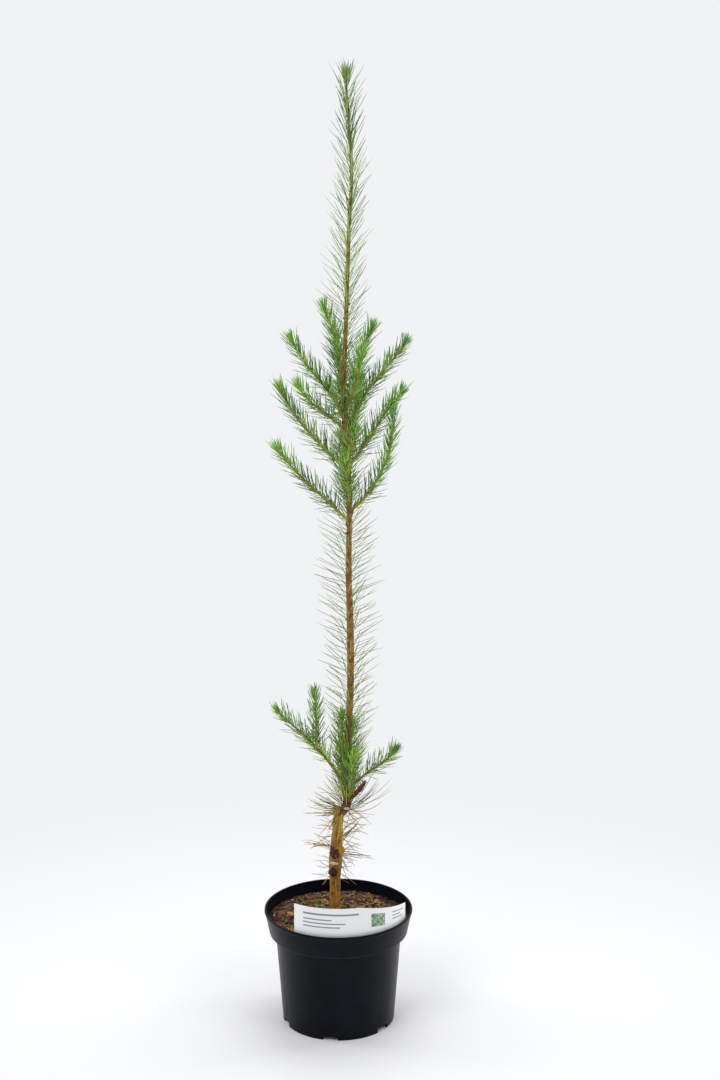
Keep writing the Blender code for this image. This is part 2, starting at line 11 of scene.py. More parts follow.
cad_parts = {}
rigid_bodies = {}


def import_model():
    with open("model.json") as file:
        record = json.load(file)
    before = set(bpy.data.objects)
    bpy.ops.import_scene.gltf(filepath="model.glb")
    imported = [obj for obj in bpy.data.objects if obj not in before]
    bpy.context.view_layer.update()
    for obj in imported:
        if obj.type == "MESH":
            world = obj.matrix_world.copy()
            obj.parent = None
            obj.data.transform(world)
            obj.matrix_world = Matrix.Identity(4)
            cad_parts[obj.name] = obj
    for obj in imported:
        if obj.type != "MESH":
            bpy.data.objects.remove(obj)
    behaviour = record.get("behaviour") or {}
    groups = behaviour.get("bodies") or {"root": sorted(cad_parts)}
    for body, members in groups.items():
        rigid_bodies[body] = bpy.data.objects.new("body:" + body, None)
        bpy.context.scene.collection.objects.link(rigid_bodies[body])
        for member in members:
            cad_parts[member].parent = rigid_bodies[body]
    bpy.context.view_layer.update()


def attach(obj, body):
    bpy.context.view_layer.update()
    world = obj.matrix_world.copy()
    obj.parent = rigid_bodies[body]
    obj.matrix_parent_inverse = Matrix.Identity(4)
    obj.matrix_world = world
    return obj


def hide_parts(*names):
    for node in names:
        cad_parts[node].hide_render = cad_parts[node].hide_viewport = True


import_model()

up = np.array([0.0, 0.0, 1.0])
goldenTurn = math.radians(137.5)  # from one leaf to the next round a stem


def linear(hexColour):
    # sRGB hex to the linear colour that shaders take
    parts = [int(hexColour[i:i + 2], 16) / 255 for i in (1, 3, 5)]
    return tuple(c / 12.92 if c <= 0.04045 else ((c + 0.055) / 1.055) ** 2.4 for c in parts) + (1.0,)


def addNode(mat, kind, inputs=None, **settings):
    # Inputs are values, or sockets to link from
    node = mat.node_tree.nodes.new("ShaderNode" + kind)
    for key, value in settings.items():
        setattr(node, key, value)
    for key, value in (inputs or {}).items():
        if isinstance(value, bpy.types.NodeSocket):
            mat.node_tree.links.new(value, node.inputs[key])
        else:
            node.inputs[key].default_value = value
    return node


def addRamp(mat, factor, stops):
    ramp = addNode(mat, "ValToRGB", {"Fac": factor})
    marks = ramp.color_ramp.elements
    while len(marks) < len(stops):
        marks.new(0.5)
    for mark, (place, colour) in zip(marks, stops):
        mark.position = place
        mark.color = linear(colour)
    return ramp.outputs["Color"]


def newMaterial(name, colour=None, **look):
    mat = bpy.data.materials.new(name)
    mat.use_nodes = True
    shader = mat.node_tree.nodes["Principled BSDF"]
    if colour:
        shader.inputs["Base Color"].default_value = linear(colour)
    for key, value in look.items():
        shader.inputs[key.replace("_", " ")].default_value = value
    return mat, shader


def link(mat, socket, shader, name):
    mat.node_tree.links.new(socket, shader.inputs[name])


def perMetre(millimetres):
    # Texture scale, in object coordinates, of a pattern that repeats over so many millimetres
    return 1000 / millimetres


def grain(mat, shader, millimetres, height, detail=3.0, roughness=None, stretch=(1, 1, 1)):
    # Bump of one grain size, and a roughness that changes with it
    place = addNode(mat, "TexCoord").outputs["Object"]
    shaped = addNode(mat, "Mapping", {"Vector": place, "Scale": stretch})
    pattern = addNode(mat, "TexNoise", {"Vector": shaped.outputs["Vector"], "Scale": perMetre(millimetres),
                                        "Detail": detail})
    bump = addNode(mat, "Bump", {"Height": pattern.outputs["Fac"], "Distance": height, "Strength": 0.6})
    link(mat, bump.outputs["Normal"], shader, "Normal")
    if roughness:
        ends = {"From Min": 0.3, "From Max": 0.7, "To Min": roughness[0], "To Max": roughness[1]}
        spread = addNode(mat, "MapRange", {"Value": pattern.outputs["Fac"], **ends})
        link(mat, spread.outputs["Result"], shader, "Roughness")
    return pattern.outputs["Fac"]


def addPiece(name, mesh, materials, replaced=(), smoothAngle=None):
    piece = bpy.data.objects.new(name, mesh)
    bpy.context.scene.collection.objects.link(piece)
    for mat in materials:
        mesh.materials.append(mat)
    if smoothAngle:
        mesh.shade_smooth()
        mesh.set_sharp_from_angle(angle=math.radians(smoothAngle))
    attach(piece, "root")
    if replaced:
        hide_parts(*replaced)
    print(f"{name}: {sum(len(face.vertices) - 2 for face in mesh.polygons)} triangles")
    return piece


def meshFrom(name, vertices, faces, kinds=None):
    mesh = bpy.data.meshes.new(name)
    mesh.from_pydata([tuple(v) for v in vertices], [], faces)
    if kinds is not None:
        mesh.polygons.foreach_set("material_index", np.array(kinds, dtype=np.int32))
    mesh.update()
    return mesh


def meshOf(name, shape):
    mesh = bpy.data.meshes.new(name)
    shape.to_mesh(mesh)
    shape.free()
    return mesh


def level(turn):
    return np.array((math.cos(turn), math.sin(turn), 0))


def spun(spot, turn):
    # Turned about the upright axis
    c, s = math.cos(turn), math.sin(turn)
    return Vector((spot.x * c - spot.y * s, spot.x * s + spot.y * c, spot.z))


def unit(vectors):
    vectors = np.asarray(vectors, float)
    return vectors / np.maximum(np.linalg.norm(vectors, axis=-1, keepdims=True), 1e-12)


def mix(ends, share):
    return ends[0] + (ends[1] - ends[0]) * share


# Camera and light

camera = dict(place=(0.0275, -2.150, 1.081), pitch=11.93, lens=60)
lights = (  # name, place, size, watts
    ("keyLight", (-1.5, -1.9, 3.0), (1.6, 1.6), 36),
    ("fillLight", (1.9, -1.5, 2.2), (1.4, 1.8), 16),
    ("leftStrip", (-1.4, 0.35, 0.8), (0.5, 1.6), 6),
    ("rightStrip", (1.4, 0.45, 0.8), (0.5, 1.6), 6),
    ("topLight", (0.2, 0.7, 2.8), (1.6, 1.2), 17),
)
room = dict(seen="#f1f2f4", light="#f6f7f9", bright=0.74, dim=0.26, fadeFrom=0.14, fadeTo=0.95)


def makeRoom():
    # Pale all round to the eye. The light it gives is weaker from the front, as in a studio,
    # so that the black pot keeps its depth.
    world = bpy.data.worlds.new("paleRoom")
    world.use_nodes = True
    way = addNode(world, "TexCoord").outputs["Generated"]
    depth = addNode(world, "SeparateXYZ", {"Vector": way}).outputs["Y"]
    ends = {"From Min": -0.9, "From Max": 0.2, "To Min": room["dim"], "To Max": room["bright"]}
    strength = addNode(world, "MapRange", {"Value": depth, **ends}).outputs["Result"]
    light = addNode(world, "Background", {"Color": linear(room["light"]), "Strength": strength})
    seen = addNode(world, "Background", {"Color": linear(room["seen"]), "Strength": 1.0})
    eye = addNode(world, "LightPath").outputs["Is Camera Ray"]
    both = addNode(world, "MixShader", {"Fac": eye, 1: light.outputs[0], 2: seen.outputs[0]})
    link(world, both.outputs["Shader"], world.node_tree.nodes["World Output"], "Surface")
    bpy.context.scene.world = world


def makeStudio():
    scene = bpy.context.scene
    scene.view_settings.view_transform = "Standard"
    eye = bpy.data.objects.new("camera", bpy.data.cameras.new("camera"))
    eye.data.lens = camera["lens"]
    eye.data.sensor_width = 36
    eye.data.clip_end = 50
    eye.location = camera["place"]
    eye.rotation_euler = (math.radians(90 - camera["pitch"]), 0, 0)
    scene.collection.objects.link(eye)
    scene.camera = eye
    aim = Vector((0, 0, 0.5))
    for name, place, size, watts in lights:
        lamp = bpy.data.objects.new(name, bpy.data.lights.new(name, "AREA"))
        lamp.data.shape = "RECTANGLE"
        lamp.data.size, lamp.data.size_y = size
        lamp.data.energy = watts
        lamp.location = place
        lamp.rotation_euler = (aim - Vector(place)).to_track_quat("-Z", "Y").to_euler()
        scene.collection.objects.link(lamp)
    makeRoom()
    mat, shader = newMaterial("paleFloorPaint", "#f4f4f5", Roughness=0.6)
    grain(mat, shader, 2.0, 0.0001)
    # Away from the pot the floor glows with the room's colour. This painted light also lights the scene: it
    # starts 14 cm out, lifts the floor's shade round the pot and runs into the pale room, with no line between
    # them
    place = addNode(mat, "TexCoord").outputs["Object"]
    away = addNode(mat, "VectorMath", {0: place}, operation="LENGTH").outputs["Value"]
    ends = {"From Min": room["fadeFrom"], "From Max": room["fadeTo"]}
    fade = addNode(mat, "MapRange", {"Value": away, **ends}, interpolation_type="SMOOTHSTEP")
    glow = addNode(mat, "Emission", {"Color": linear(room["seen"]), "Strength": 1.0}).outputs["Emission"]
    both = addNode(mat, "MixShader", {"Fac": fade.outputs["Result"], 1: shader.outputs["BSDF"], 2: glow})
    link(mat, both.outputs["Shader"], mat.node_tree.nodes["Material Output"], "Surface")
    shape = bmesh.new()
    bmesh.ops.create_circle(shape, cap_ends=True, segments=96, radius=9.0)
    mesh = meshOf("floor", shape)
    mesh.materials.append(mat)
    floor = bpy.data.objects.new("floor", mesh)
    scene.collection.objects.link(floor)
    print("studio ready")


# Pot: moulded black polypropylene, turned, with a lip, a tapering collar and a notched foot

pot = dict(
    height=0.148, rimRadius=0.0943, lipHeight=0.003, lipOverhang=0.001, collarHeight=0.030,
    collarFootRadius=0.0880, shoulderRadius=0.0800, shoulderDrop=0.0015, footRadius=0.0715,
    wall=0.0014, footWidth=0.0028, floorHeight=0.0072, sides=192,
    notchCount=6, notchWidth=0.019, notchHeight=0.006, cutDepth=0.014, notchTurn=math.radians(-98),
    drainRadius=0.0045, drainRingRadius=0.052, seamBeads=132, beadRadius=0.0005,
)


def potPlastic():
    # Polypropylene moulded in a satin tool: a soft grey sheen at the sides, fine scuffs and a little dust
    mat, shader = newMaterial("blackPolypropyleneMoulded", "#090c14", Roughness=0.40, IOR=1.49,
                              Specular_IOR_Level=0.09)
    grain(mat, shader, 0.9, 0.00008, roughness=(0.28, 0.42))  # tool grain is about 0.1 mm, drawn coarser
    place = addNode(mat, "TexCoord").outputs["Object"]
    dust = addNode(mat, "TexNoise", {"Vector": place, "Scale": perMetre(30), "Detail": 5.0}).outputs["Fac"]
    link(mat, addRamp(mat, dust, ((0.35, "#070a12"), (0.75, "#0f121a"))), shader, "Base Color")
    return mat


def collarRadius(height):
    share = (pot["height"] - pot["lipHeight"] - height) / (pot["collarHeight"] - pot["lipHeight"])
    return mix((pot["rimRadius"] - pot["lipOverhang"], pot["collarFootRadius"]), share)


def rounded(corners, radius, steps=3):
    # A turned profile with its corners rounded off
    line = [Vector(corners[0])]
    for before, corner, after in zip(corners, corners[1:], corners[2:]):
        before, corner, after = Vector(before), Vector(corner), Vector(after)
        reach = min(radius, (before - corner).length * 0.45, (after - corner).length * 0.45)
        start = corner + (before - corner).normalized() * reach
        end = corner + (after - corner).normalized() * reach
        for k in range(steps + 1):
            t = k / steps
            line.append(start * (1 - t) ** 2 + corner * 2 * t * (1 - t) + end * t * t)
    line.append(Vector(corners[-1]))
    return line


def turnedMesh(name, line, sides):
    mesh = bpy.data.meshes.new(name)
    mesh.from_pydata([(point.x, 0, point.y) for point in line], [(i, i + 1) for i in range(len(line) - 1)], [])
    source = bpy.data.objects.new(name, mesh)
    bpy.context.scene.collection.objects.link(source)
    screw = source.modifiers.new("turn", "SCREW")
    screw.steps = screw.render_steps = sides
    screw.use_merge_vertices = True
    screw.merge_threshold = 0.00002
    return source


def applied(source):
    # The object's mesh with its modifiers applied; the object goes
    bpy.context.view_layer.update()
    mesh = bpy.data.meshes.new_from_object(source.evaluated_get(bpy.context.evaluated_depsgraph_get()))
    bpy.data.objects.remove(source, do_unlink=True)
    return mesh


def makePot():
    collarFoot = pot["height"] - pot["collarHeight"]
    lipFoot = pot["height"] - pot["lipHeight"]
    shoulder = collarFoot - pot["shoulderDrop"]
    floorTop = pot["floorHeight"] + pot["wall"]
    corners = [
        (0.0, floorTop),
        (pot["footRadius"] - pot["wall"], floorTop),
        (pot["shoulderRadius"] - pot["wall"], shoulder),
        (pot["collarFootRadius"] - pot["wall"], collarFoot + pot["wall"]),
        (collarRadius(lipFoot) - pot["wall"], lipFoot),
        (pot["rimRadius"] - 2 * pot["wall"], pot["height"]),
        (pot["rimRadius"] - 0.0002, pot["height"]),
        (pot["rimRadius"], lipFoot),
        (collarRadius(lipFoot), lipFoot - pot["lipOverhang"]),
        (pot["collarFootRadius"], collarFoot),
        (pot["shoulderRadius"], shoulder),
        (pot["footRadius"], 0.0),
        (pot["footRadius"] - pot["footWidth"], 0.0),
        (pot["footRadius"] - pot["footWidth"], pot["floorHeight"]),
        (0.0, pot["floorHeight"]),
    ]
    source = turnedMesh("pot_shell", rounded(corners, 0.0006), pot["sides"])
    cutters = bpy.data.collections.new("potCutters")
    bpy.context.scene.collection.children.link(cutters)
    for i in range(pot["notchCount"]):
        turn = pot["notchTurn"] + i * math.tau / pot["notchCount"]
        out = Vector(level(turn))
        shape = bmesh.new()
        bmesh.ops.create_cube(shape, size=1)
        size = (pot["cutDepth"], pot["notchWidth"], 2 * pot["notchHeight"])
        bmesh.ops.scale(shape, vec=size, verts=shape.verts)
        edges = [e for e in shape.edges if abs(e.verts[0].co.x - e.verts[1].co.x) > 0.001]
        bmesh.ops.bevel(shape, geom=edges, offset=0.0012, segments=3, affect="EDGES", profile=0.5)
        notch = meshOf("notch", shape)
        shape = bmesh.new()
        bmesh.ops.create_cone(shape, cap_ends=True, segments=24, radius1=pot["drainRadius"],
                              radius2=pot["drainRadius"], depth=pot["cutDepth"])
        drain = meshOf("drain", shape)
        for mesh, place in ((notch, out * pot["footRadius"]),
                            (drain, out * pot["drainRingRadius"] + Vector((0, 0, pot["floorHeight"])))):
            cutter = bpy.data.objects.new(mesh.name, mesh)
            cutter.location = place
            cutter.rotation_euler.z = turn
            cutters.objects.link(cutter)
    cut = source.modifiers.new("cut", "BOOLEAN")
    cut.operand_type = "COLLECTION"
    cut.collection = cutters
    mesh = applied(source)
    for cutter in list(cutters.objects):
        bpy.data.objects.remove(cutter, do_unlink=True)
    bpy.data.collections.remove(cutters)
    plastic = potPlastic()
    addPiece("pot_shell", mesh, [plastic], ["pot"], smoothAngle=32)
    # The broken moulding line along the collar's lower edge: a row of small beads
    shape = bmesh.new()
    rule = random.Random(5)
    for i in range(pot["seamBeads"]):
        if rule.random() < 0.25:
            continue
        turn = i * math.tau / pot["seamBeads"]
        bead = bmesh.ops.create_icosphere(shape, subdivisions=1, radius=pot["beadRadius"])["verts"]
        longer = rule.uniform(1.6, 3.2)
        for v in bead:
            v.co = Vector((v.co.x, v.co.y * longer, v.co.z * 0.7))
            v.co.x += pot["collarFootRadius"] - 0.0001
            v.co.z += collarFoot + 0.0004
            v.co = spun(v.co, turn)
    worn, shader = newMaterial("polypropyleneFlash", "#4b4e54", Roughness=0.6, IOR=1.49)
    grain(worn, shader, 0.8, 0.00005)
    addPiece("pot_seam", meshOf("pot_seam", shape), [worn], smoothAngle=60)


# Potting mix, with bark chips, moss and fibres that lie on it

soil = dict(top=0.1365, levelRadius=0.022, wallDrop=0.003, relief=0.0022, reliefSize=0.011, crumbSize=0.004,
            chips=1150, fibres=260, moss=230, seed=7)


def soilTop(x, y):
    # Height of the mix at a place
    far = math.hypot(x, y)
    edge = collarRadius(soil["top"]) - pot["wall"]
    sag = soil["wallDrop"] * max(0.0, (far - soil["levelRadius"]) / (edge - soil["levelRadius"]))
    lumps = noise.noise(Vector((x, y, 0.3)) / soil["reliefSize"])
    lumps += 0.5 * noise.noise(Vector((x, y, 4)) / soil["crumbSize"])
    calm = min(1.0, max(0.0, (far - 0.009) / 0.02))  # smoother at the stem, where the cut lies
    return soil["top"] - sag + soil["relief"] * (lumps * 0.55 - 0.25) * calm


def pottingMix():
    # Damp peat and fine bark: dark, matt and crumbly
    mat, shader = newMaterial("peatPottingMix", Roughness=0.95)
    fleck = grain(mat, shader, 3.0, 0.0012, detail=8.0)
    stops = ((0.34, "#120a06"), (0.50, "#2a180d"), (0.62, "#553219"), (0.74, "#7a4d28"))
    link(mat, addRamp(mat, fleck, stops), shader, "Base Color")
    return mat


def woodBits(name, dark, light, millimetres=1.2):
    # Dry conifer bark: matt, split along its fibres
    mat, shader = newMaterial(name, Roughness=0.88)
    fleck = grain(mat, shader, millimetres, 0.0004, detail=5.0)
    link(mat, addRamp(mat, fleck, ((0.35, dark), (0.65, light))), shader, "Base Color")
    return mat


def makeSoil():
    rings, sides = 46, 144
    edge = collarRadius(soil["top"]) - pot["wall"] - 0.0006
    vertices = [(0, 0, soilTop(0, 0))]
    for i in range(1, rings + 1):
        for k in range(sides):
            turn = math.tau * k / sides
            far = edge * i / rings
            x, y = far * math.cos(turn), far * math.sin(turn)
            vertices.append((x, y, soilTop(x, y)))
    wall = pot["wall"] + 0.0006
    collarFoot = pot["height"] - pot["collarHeight"]
    lower = ((pot["collarFootRadius"] - wall, collarFoot + pot["wall"]),
             (pot["shoulderRadius"] - wall, collarFoot - pot["shoulderDrop"]),
             (pot["footRadius"] - wall, pot["floorHeight"] + wall))
    for far, height in lower:
        for k in range(sides):
            turn = math.tau * k / sides
            vertices.append((far * math.cos(turn), far * math.sin(turn), height))
    faces = [(0, 1 + k, 1 + (k + 1) % sides) for k in range(sides)]
    for i in range(rings + len(lower) - 1):
        for k in range(sides):
            a, b = 1 + i * sides + k, 1 + i * sides + (k + 1) % sides
            faces.append((a, a + sides, b + sides, b))
    last = 1 + (rings + len(lower) - 1) * sides
    faces.append([last + k for k in reversed(range(sides))])
    addPiece("potting_mix", meshFrom("potting_mix", vertices, faces), [pottingMix()], ["soil"], 70)


def soilSpot(rule, margin=0.004, clear=0.0095):
    while True:
        x, y = rule.uniform(-0.092, 0.092), rule.uniform(-0.092, 0.092)
        far = math.hypot(x, y)
        onStem = math.hypot(x - trunk["stations"][0][1], y) < clear
        if far < collarRadius(soil["top"]) - pot["wall"] - margin and not onStem:
            return x, y, soilTop(x, y)


def chipMesh(rule, length, width, thick):
    # A flat, splintered chip with uneven ends
    shape = bmesh.new()
    bmesh.ops.create_cube(shape, size=1)
    bmesh.ops.subdivide_edges(shape, edges=shape.edges[:], cuts=1)
    for v in shape.verts:
        v.co.x *= length * rule.uniform(0.75, 1.1)
        v.co.y *= width * rule.uniform(0.65, 1.15)
        v.co.z = v.co.z * thick * rule.uniform(0.7, 1.2) + length * 0.05 * rule.uniform(-1, 1)
    return shape


def makeChips():
    rule = random.Random(soil["seed"])
    materials = [
        woodBits("pineBarkRed", "#3d1e11", "#74432a"),
        woodBits("pineBarkDark", "#150c08", "#362015"),
        woodBits("pineBarkTan", "#7a5430", "#bb915f"),
        woodBits("pineBarkRust", "#5c3019", "#99582b"),
        woodBits("pineBarkGrey", "#5b4c42", "#8b7b6b"),
    ]
    level = Vector((1, 0, 0)).to_track_quat("X", "Z").to_matrix()
    vertices, faces, kinds = [], [], []
    for i in range(soil["chips"]):
        kind = rule.choices(range(5), (28, 34, 15, 15, 8))[0]
        big = rule.random() < 0.16
        length = rule.uniform(0.007, 0.013) if big else rule.uniform(0.0025, 0.006)
        width = length * rule.uniform(0.3, 0.7)
        shape = chipMesh(rule, length, width, rule.uniform(0.0006, 0.0016))
        x, y, z = soilSpot(rule, margin=0.002 + length * 0.55, clear=0.0095 + length * 0.4)
        tilt = Vector((rule.uniform(-0.5, 0.5), rule.uniform(-0.5, 0.5), 1)).normalized()
        turn = tilt.to_track_quat("Z", "Y").to_matrix() @ level
        spin = rule.uniform(0, math.tau)
        start = len(vertices)
        for v in shape.verts:
            c = turn @ spun(v.co, spin)
            vertices.append((x + c.x, y + c.y, z + c.z + 0.0004))
        for f in shape.faces:
            faces.append([start + v.index for v in f.verts])
            kinds.append(kind)
        shape.free()
    addPiece("bark_chips", meshFrom("bark_chips", vertices, faces, kinds), materials, (), 25)


def makeFibres():
    # Roots and straws in the mix, each a thin bent rod
    rule = random.Random(soil["seed"] + 1)
    paths, radii, kinds = [], [], []
    for i in range(soil["fibres"]):
        length = rule.uniform(0.006, 0.020)
        x, y, z = soilSpot(rule, margin=0.003 + length * 0.5, clear=0.012 + length * 0.5)
        turn = rule.uniform(0, math.tau)
        bend = rule.uniform(-1.2, 1.2)
        path = []
        for k in range(6):
            t = k / 5 - 0.5
            angle = turn + bend * t
            px, py = x + math.cos(angle) * length * t, y + math.sin(angle) * length * t
            path.append((px, py, soilTop(px, py) + 0.0009 + 0.0012 * (1 - 4 * t * t) * rule.random()))
        paths.append(path)
        radii.append([rule.uniform(0.00018, 0.00040)] * 6)
        kinds.append(rule.choices(range(3), (5, 3, 2))[0])
    materials = [woodBits("strawFibre", "#a87c45", "#d2ad77"), woodBits("rootFibre", "#6a3d20", "#9a6638"),
                 woodBits("dryNeedle", "#93a05a", "#b7ae6c")]
    mesh = joinTubes("soil_fibres", paths, radii, 5, kinds)
    addPiece("soil_fibres", mesh, materials, (), 60)


def makeMoss():
    # Small tufts of green-grey moss, mostly behind and left of the stem
    rule = random.Random(soil["seed"] + 2)
    spray = Needles()
    for i in range(soil["moss"]):
        while True:
            x, y, z = soilSpot(rule, margin=0.006)
            if rule.random() < math.exp(-((x + 0.022) ** 2 + (y - 0.028) ** 2) / 0.0007) + 0.10:
                break
        kind = rule.randrange(2)
        for k in range(12):
            way = Vector((rule.uniform(-1, 1), rule.uniform(-1, 1), rule.uniform(0.3, 1.2))).normalized()
            root = (x + rule.uniform(-0.0012, 0.0012), y + rule.uniform(-0.0012, 0.0012), z - 0.0003)
            spray.add(root, way, rule.uniform(0.0016, 0.0036), 0.0007, (0, 0, 0.2), kind)
    materials = [woodBits("mossDry", "#5d6533", "#8b9150"), woodBits("mossGreen", "#3f5527", "#6d8440")]
    addPiece("moss_bits", spray.mesh("moss_bits"), materials, (), 60)


# Card label, bent along the inside of the front wall

label = dict(radius=0.0890, thickness=0.0006, left=math.radians(-37), right=math.radians(71),
             top=0.1840, topRight=0.1670, foot=0.1368, steps=120, rows=24)


def labelTop(share):
    # Level over the left half, then falling towards the right
    drop = max(0.0, share - 0.5) * 2
    return mix((label["top"], label["topRight"]), drop)


def onLabel(share, high, lift=0.0):
    # A point of the card: share of its width from the left and of its height from the foot
    angle = mix((label["left"], label["right"]), share)
    far = label["radius"] + lift + 0.00025 * math.sin(share * 19) * high
    return (far * math.sin(angle), -far * math.cos(angle), mix((label["foot"], labelTop(share)), high))


def cardMesh(left, right, low, high, steps, rows, inner, outer):
    # A closed, curved slab of the card between two shares of its width and of its height
    vertices, faces = [], []
    for lift in (outer, inner):
        for j in range(rows + 1):
            for i in range(steps + 1):
                vertices.append(onLabel(mix((left, right), i / steps), mix((low, high), j / rows), lift))
    wide = steps + 1
    back = wide * (rows + 1)
    for j in range(rows):
        for i in range(steps):
            a = j * wide + i
            faces.append((a, a + 1, a + wide + 1, a + wide))
            faces.append((back + a, back + a + wide, back + a + wide + 1, back + a + 1))
    rim = [i for i in range(wide)] + [j * wide + steps for j in range(1, rows + 1)]
    rim += [rows * wide + i for i in reversed(range(steps))] + [j * wide for j in reversed(range(1, rows))]
    for a, b in zip(rim, rim[1:] + rim[:1]):
        faces.append((a, back + a, back + b, b))
    return vertices, faces


def makeLabel():
    half = label["thickness"] / 2
    # Coated white card: smooth, with a faint sheen
    card, shader = newMaterial("coatedCardWhite", "#f4f5f7", Roughness=0.42, IOR=1.5)
    grain(card, shader, 1.5, 0.00003, roughness=(0.36, 0.5))
    grey, shader = newMaterial("printGrey", "#8d9196", Roughness=0.55)
    grain(grey, shader, 0.8, 0.00001)
    leaf, shader = newMaterial("printMottledGreen", Roughness=0.5)
    fleck = grain(leaf, shader, 2.2, 0.00001, detail=6.0)
    mottle = addRamp(leaf, fleck, ((0.36, "#3d6b49"), (0.5, "#7ba07f"), (0.66, "#c3d2bd")))
    link(leaf, mottle, shader, "Base Color")
    body = cardMesh(0, 1, 0, 1, label["steps"], label["rows"], -half, half)
    addPiece("label_card", meshFrom("label_card", *body), [card], ["label"], 50)
    # Plain rules and a mottled panel, on both sides, a hair proud of the card.
    # Each is given by its left, right, foot and top as shares of the card.
    rules = [(left, right, high, high + thick) for left, right, high, thick in (
        (0.08, 0.50, 0.80, 0.050), (0.08, 0.30, 0.66, 0.034), (0.08, 0.40, 0.56, 0.034),
        (0.08, 0.36, 0.46, 0.034), (0.80, 0.95, 0.80, 0.034), (0.80, 0.90, 0.68, 0.034),
        (0.80, 0.94, 0.56, 0.034))]
    prints = (("label_rules", rules, 40, 1, grey), ("label_panel", [(0.60, 0.72, 0.44, 0.84)], 16, 8, leaf))
    for name, marks, steps, rows, ink in prints:
        vertices, faces = [], []
        for mark in marks:
            for inner, outer in ((-half - 0.00006, -half + 0.0001), (half - 0.0001, half + 0.00006)):
                strip = cardMesh(*mark, steps, rows, inner, outer)
                start = len(vertices)
                vertices += strip[0]
                faces += [[start + v for v in f] for f in strip[1]]
        addPiece(name, meshFrom(name, vertices, faces), [ink], (), 50)


# Wood: tubes with relief along a path

trunk = dict(
    stations=(  # height, sideways place, radius
        (0.1368, -0.0046, 0.0084), (0.150, -0.0044, 0.0069), (0.180, -0.0043, 0.0066),
        (0.204, -0.0038, 0.0080), (0.222, -0.0028, 0.0080), (0.248, -0.0014, 0.0066),
        (0.272, 0.0012, 0.0062), (0.284, 0.0100, 0.0056), (0.300, 0.0113, 0.0040),
        (0.345, 0.0113, 0.0036), (0.440, 0.0156, 0.0042), (0.530, 0.0152, 0.0042),
        (0.580, 0.0137, 0.0037), (0.680, 0.0145, 0.0033), (0.745, 0.0112, 0.0039),
        (0.800, 0.0079, 0.0029), (0.905, 0.0114, 0.0025), (1.000, 0.0145, 0.0022),
        (1.065, 0.0177, 0.0019), (1.110, 0.0154, 0.0017), (1.160, 0.0118, 0.0016),
        (1.170, 0.0115, 0.0007),
    ),
    step=0.0009, sides=40,
)
stub = dict(low=0.256, high=0.2825, place=0.0004, radii=(0.0058, 0.0053))


def betweenStations(i, share, column):
    stations = trunk["stations"]
    here, after = stations[i], stations[i + 1]
    if column == 0:
        return mix((here[0], after[0]), share)
    slopes = []
    for k in (i, i + 1):
        low, high = stations[max(k - 1, 0)], stations[min(k + 1, len(stations) - 1)]
        slopes.append(0.0 if k == 0 else (high[column] - low[column]) / (high[0] - low[0]))
    span, square, cube = after[0] - here[0], share * share, share ** 3
    return ((2 * cube - 3 * square + 1) * here[column] + (cube - 2 * square + share) * span * slopes[0]
            + (3 * square - 2 * cube) * after[column] + (cube - square) * span * slopes[1])


def trunkAt(height):
    stations = trunk["stations"]
    for i in range(len(stations) - 1):
        if stations[i][0] <= height <= stations[i + 1][0]:
            share = (height - stations[i][0]) / (stations[i + 1][0] - stations[i][0])
            return betweenStations(i, share, 1), betweenStations(i, share, 2)
    return stations[-1][1], stations[-1][2]


def frames(points):
    # The way ahead and two directions square to it at each point, carried along without twist
    points = np.asarray(points, float)
    ahead = unit(np.gradient(points, axis=0))
    sides = np.zeros_like(points)
    side = np.cross(ahead[0], up)
    if np.linalg.norm(side) < 0.01:
        side = np.array([1.0, 0.0, 0.0])
    for i in range(len(points)):
        side = unit(side - ahead[i] * np.dot(side, ahead[i]))
        sides[i] = side
    return points, ahead, sides, np.cross(ahead, sides)


def tubeArrays(path, radii, sides, relief=None):
    # Vertices and faces of a closed tube. Relief gives the extra radius at a place and angle.
    points, ahead, side, other = frames(path)
    turns = np.arange(sides) * math.tau / sides
    reach = np.repeat(np.asarray(radii, float)[:, None], sides, axis=1)
    out = side[:, None, :] * np.cos(turns)[None, :, None] + other[:, None, :] * np.sin(turns)[None, :, None]
    if relief is not None:
        reach = reach + relief(points, out, reach)
    vertices = (points[:, None, :] + out * reach[:, :, None]).reshape(-1, 3)
    faces = []
    for i in range(len(points) - 1):
        for k in range(sides):
            a, b = i * sides + k, i * sides + (k + 1) % sides
            faces.append((a, b, b + sides, a + sides))
    faces.append(tuple(reversed(range(sides))))
    faces.append(tuple(range((len(points) - 1) * sides, len(points) * sides)))
    return vertices, faces


def joinTubes(name, paths, radii, sides, kinds=None, relief=None):
    vertices, faces, slots = [], [], []
    for i, (path, widths) in enumerate(zip(paths, radii)):
        v, f = tubeArrays(path, widths, sides, relief)
        start = len(vertices)
        vertices.extend(map(tuple, v))
        faces.extend(tuple(start + k for k in face) for face in f)
        slots.extend([kinds[i] if kinds else 0] * len(f))
    return meshFrom(name, vertices, faces, slots)


def ridged(points, out, reach):
    # Low ribs that run down from each needle, and fine crumbling
    turn = np.arctan2(out[..., 1], out[..., 0])
    z = points[:, 2][:, None]
    ribs = np.cos(7 * turn + z * 620) * np.cos(5 * turn - z * 430)
    rough = np.sin(11 * turn + 3.1 * np.sin(z * 900)) * 0.4
    return reach * (0.055 * ribs + 0.025 * rough)


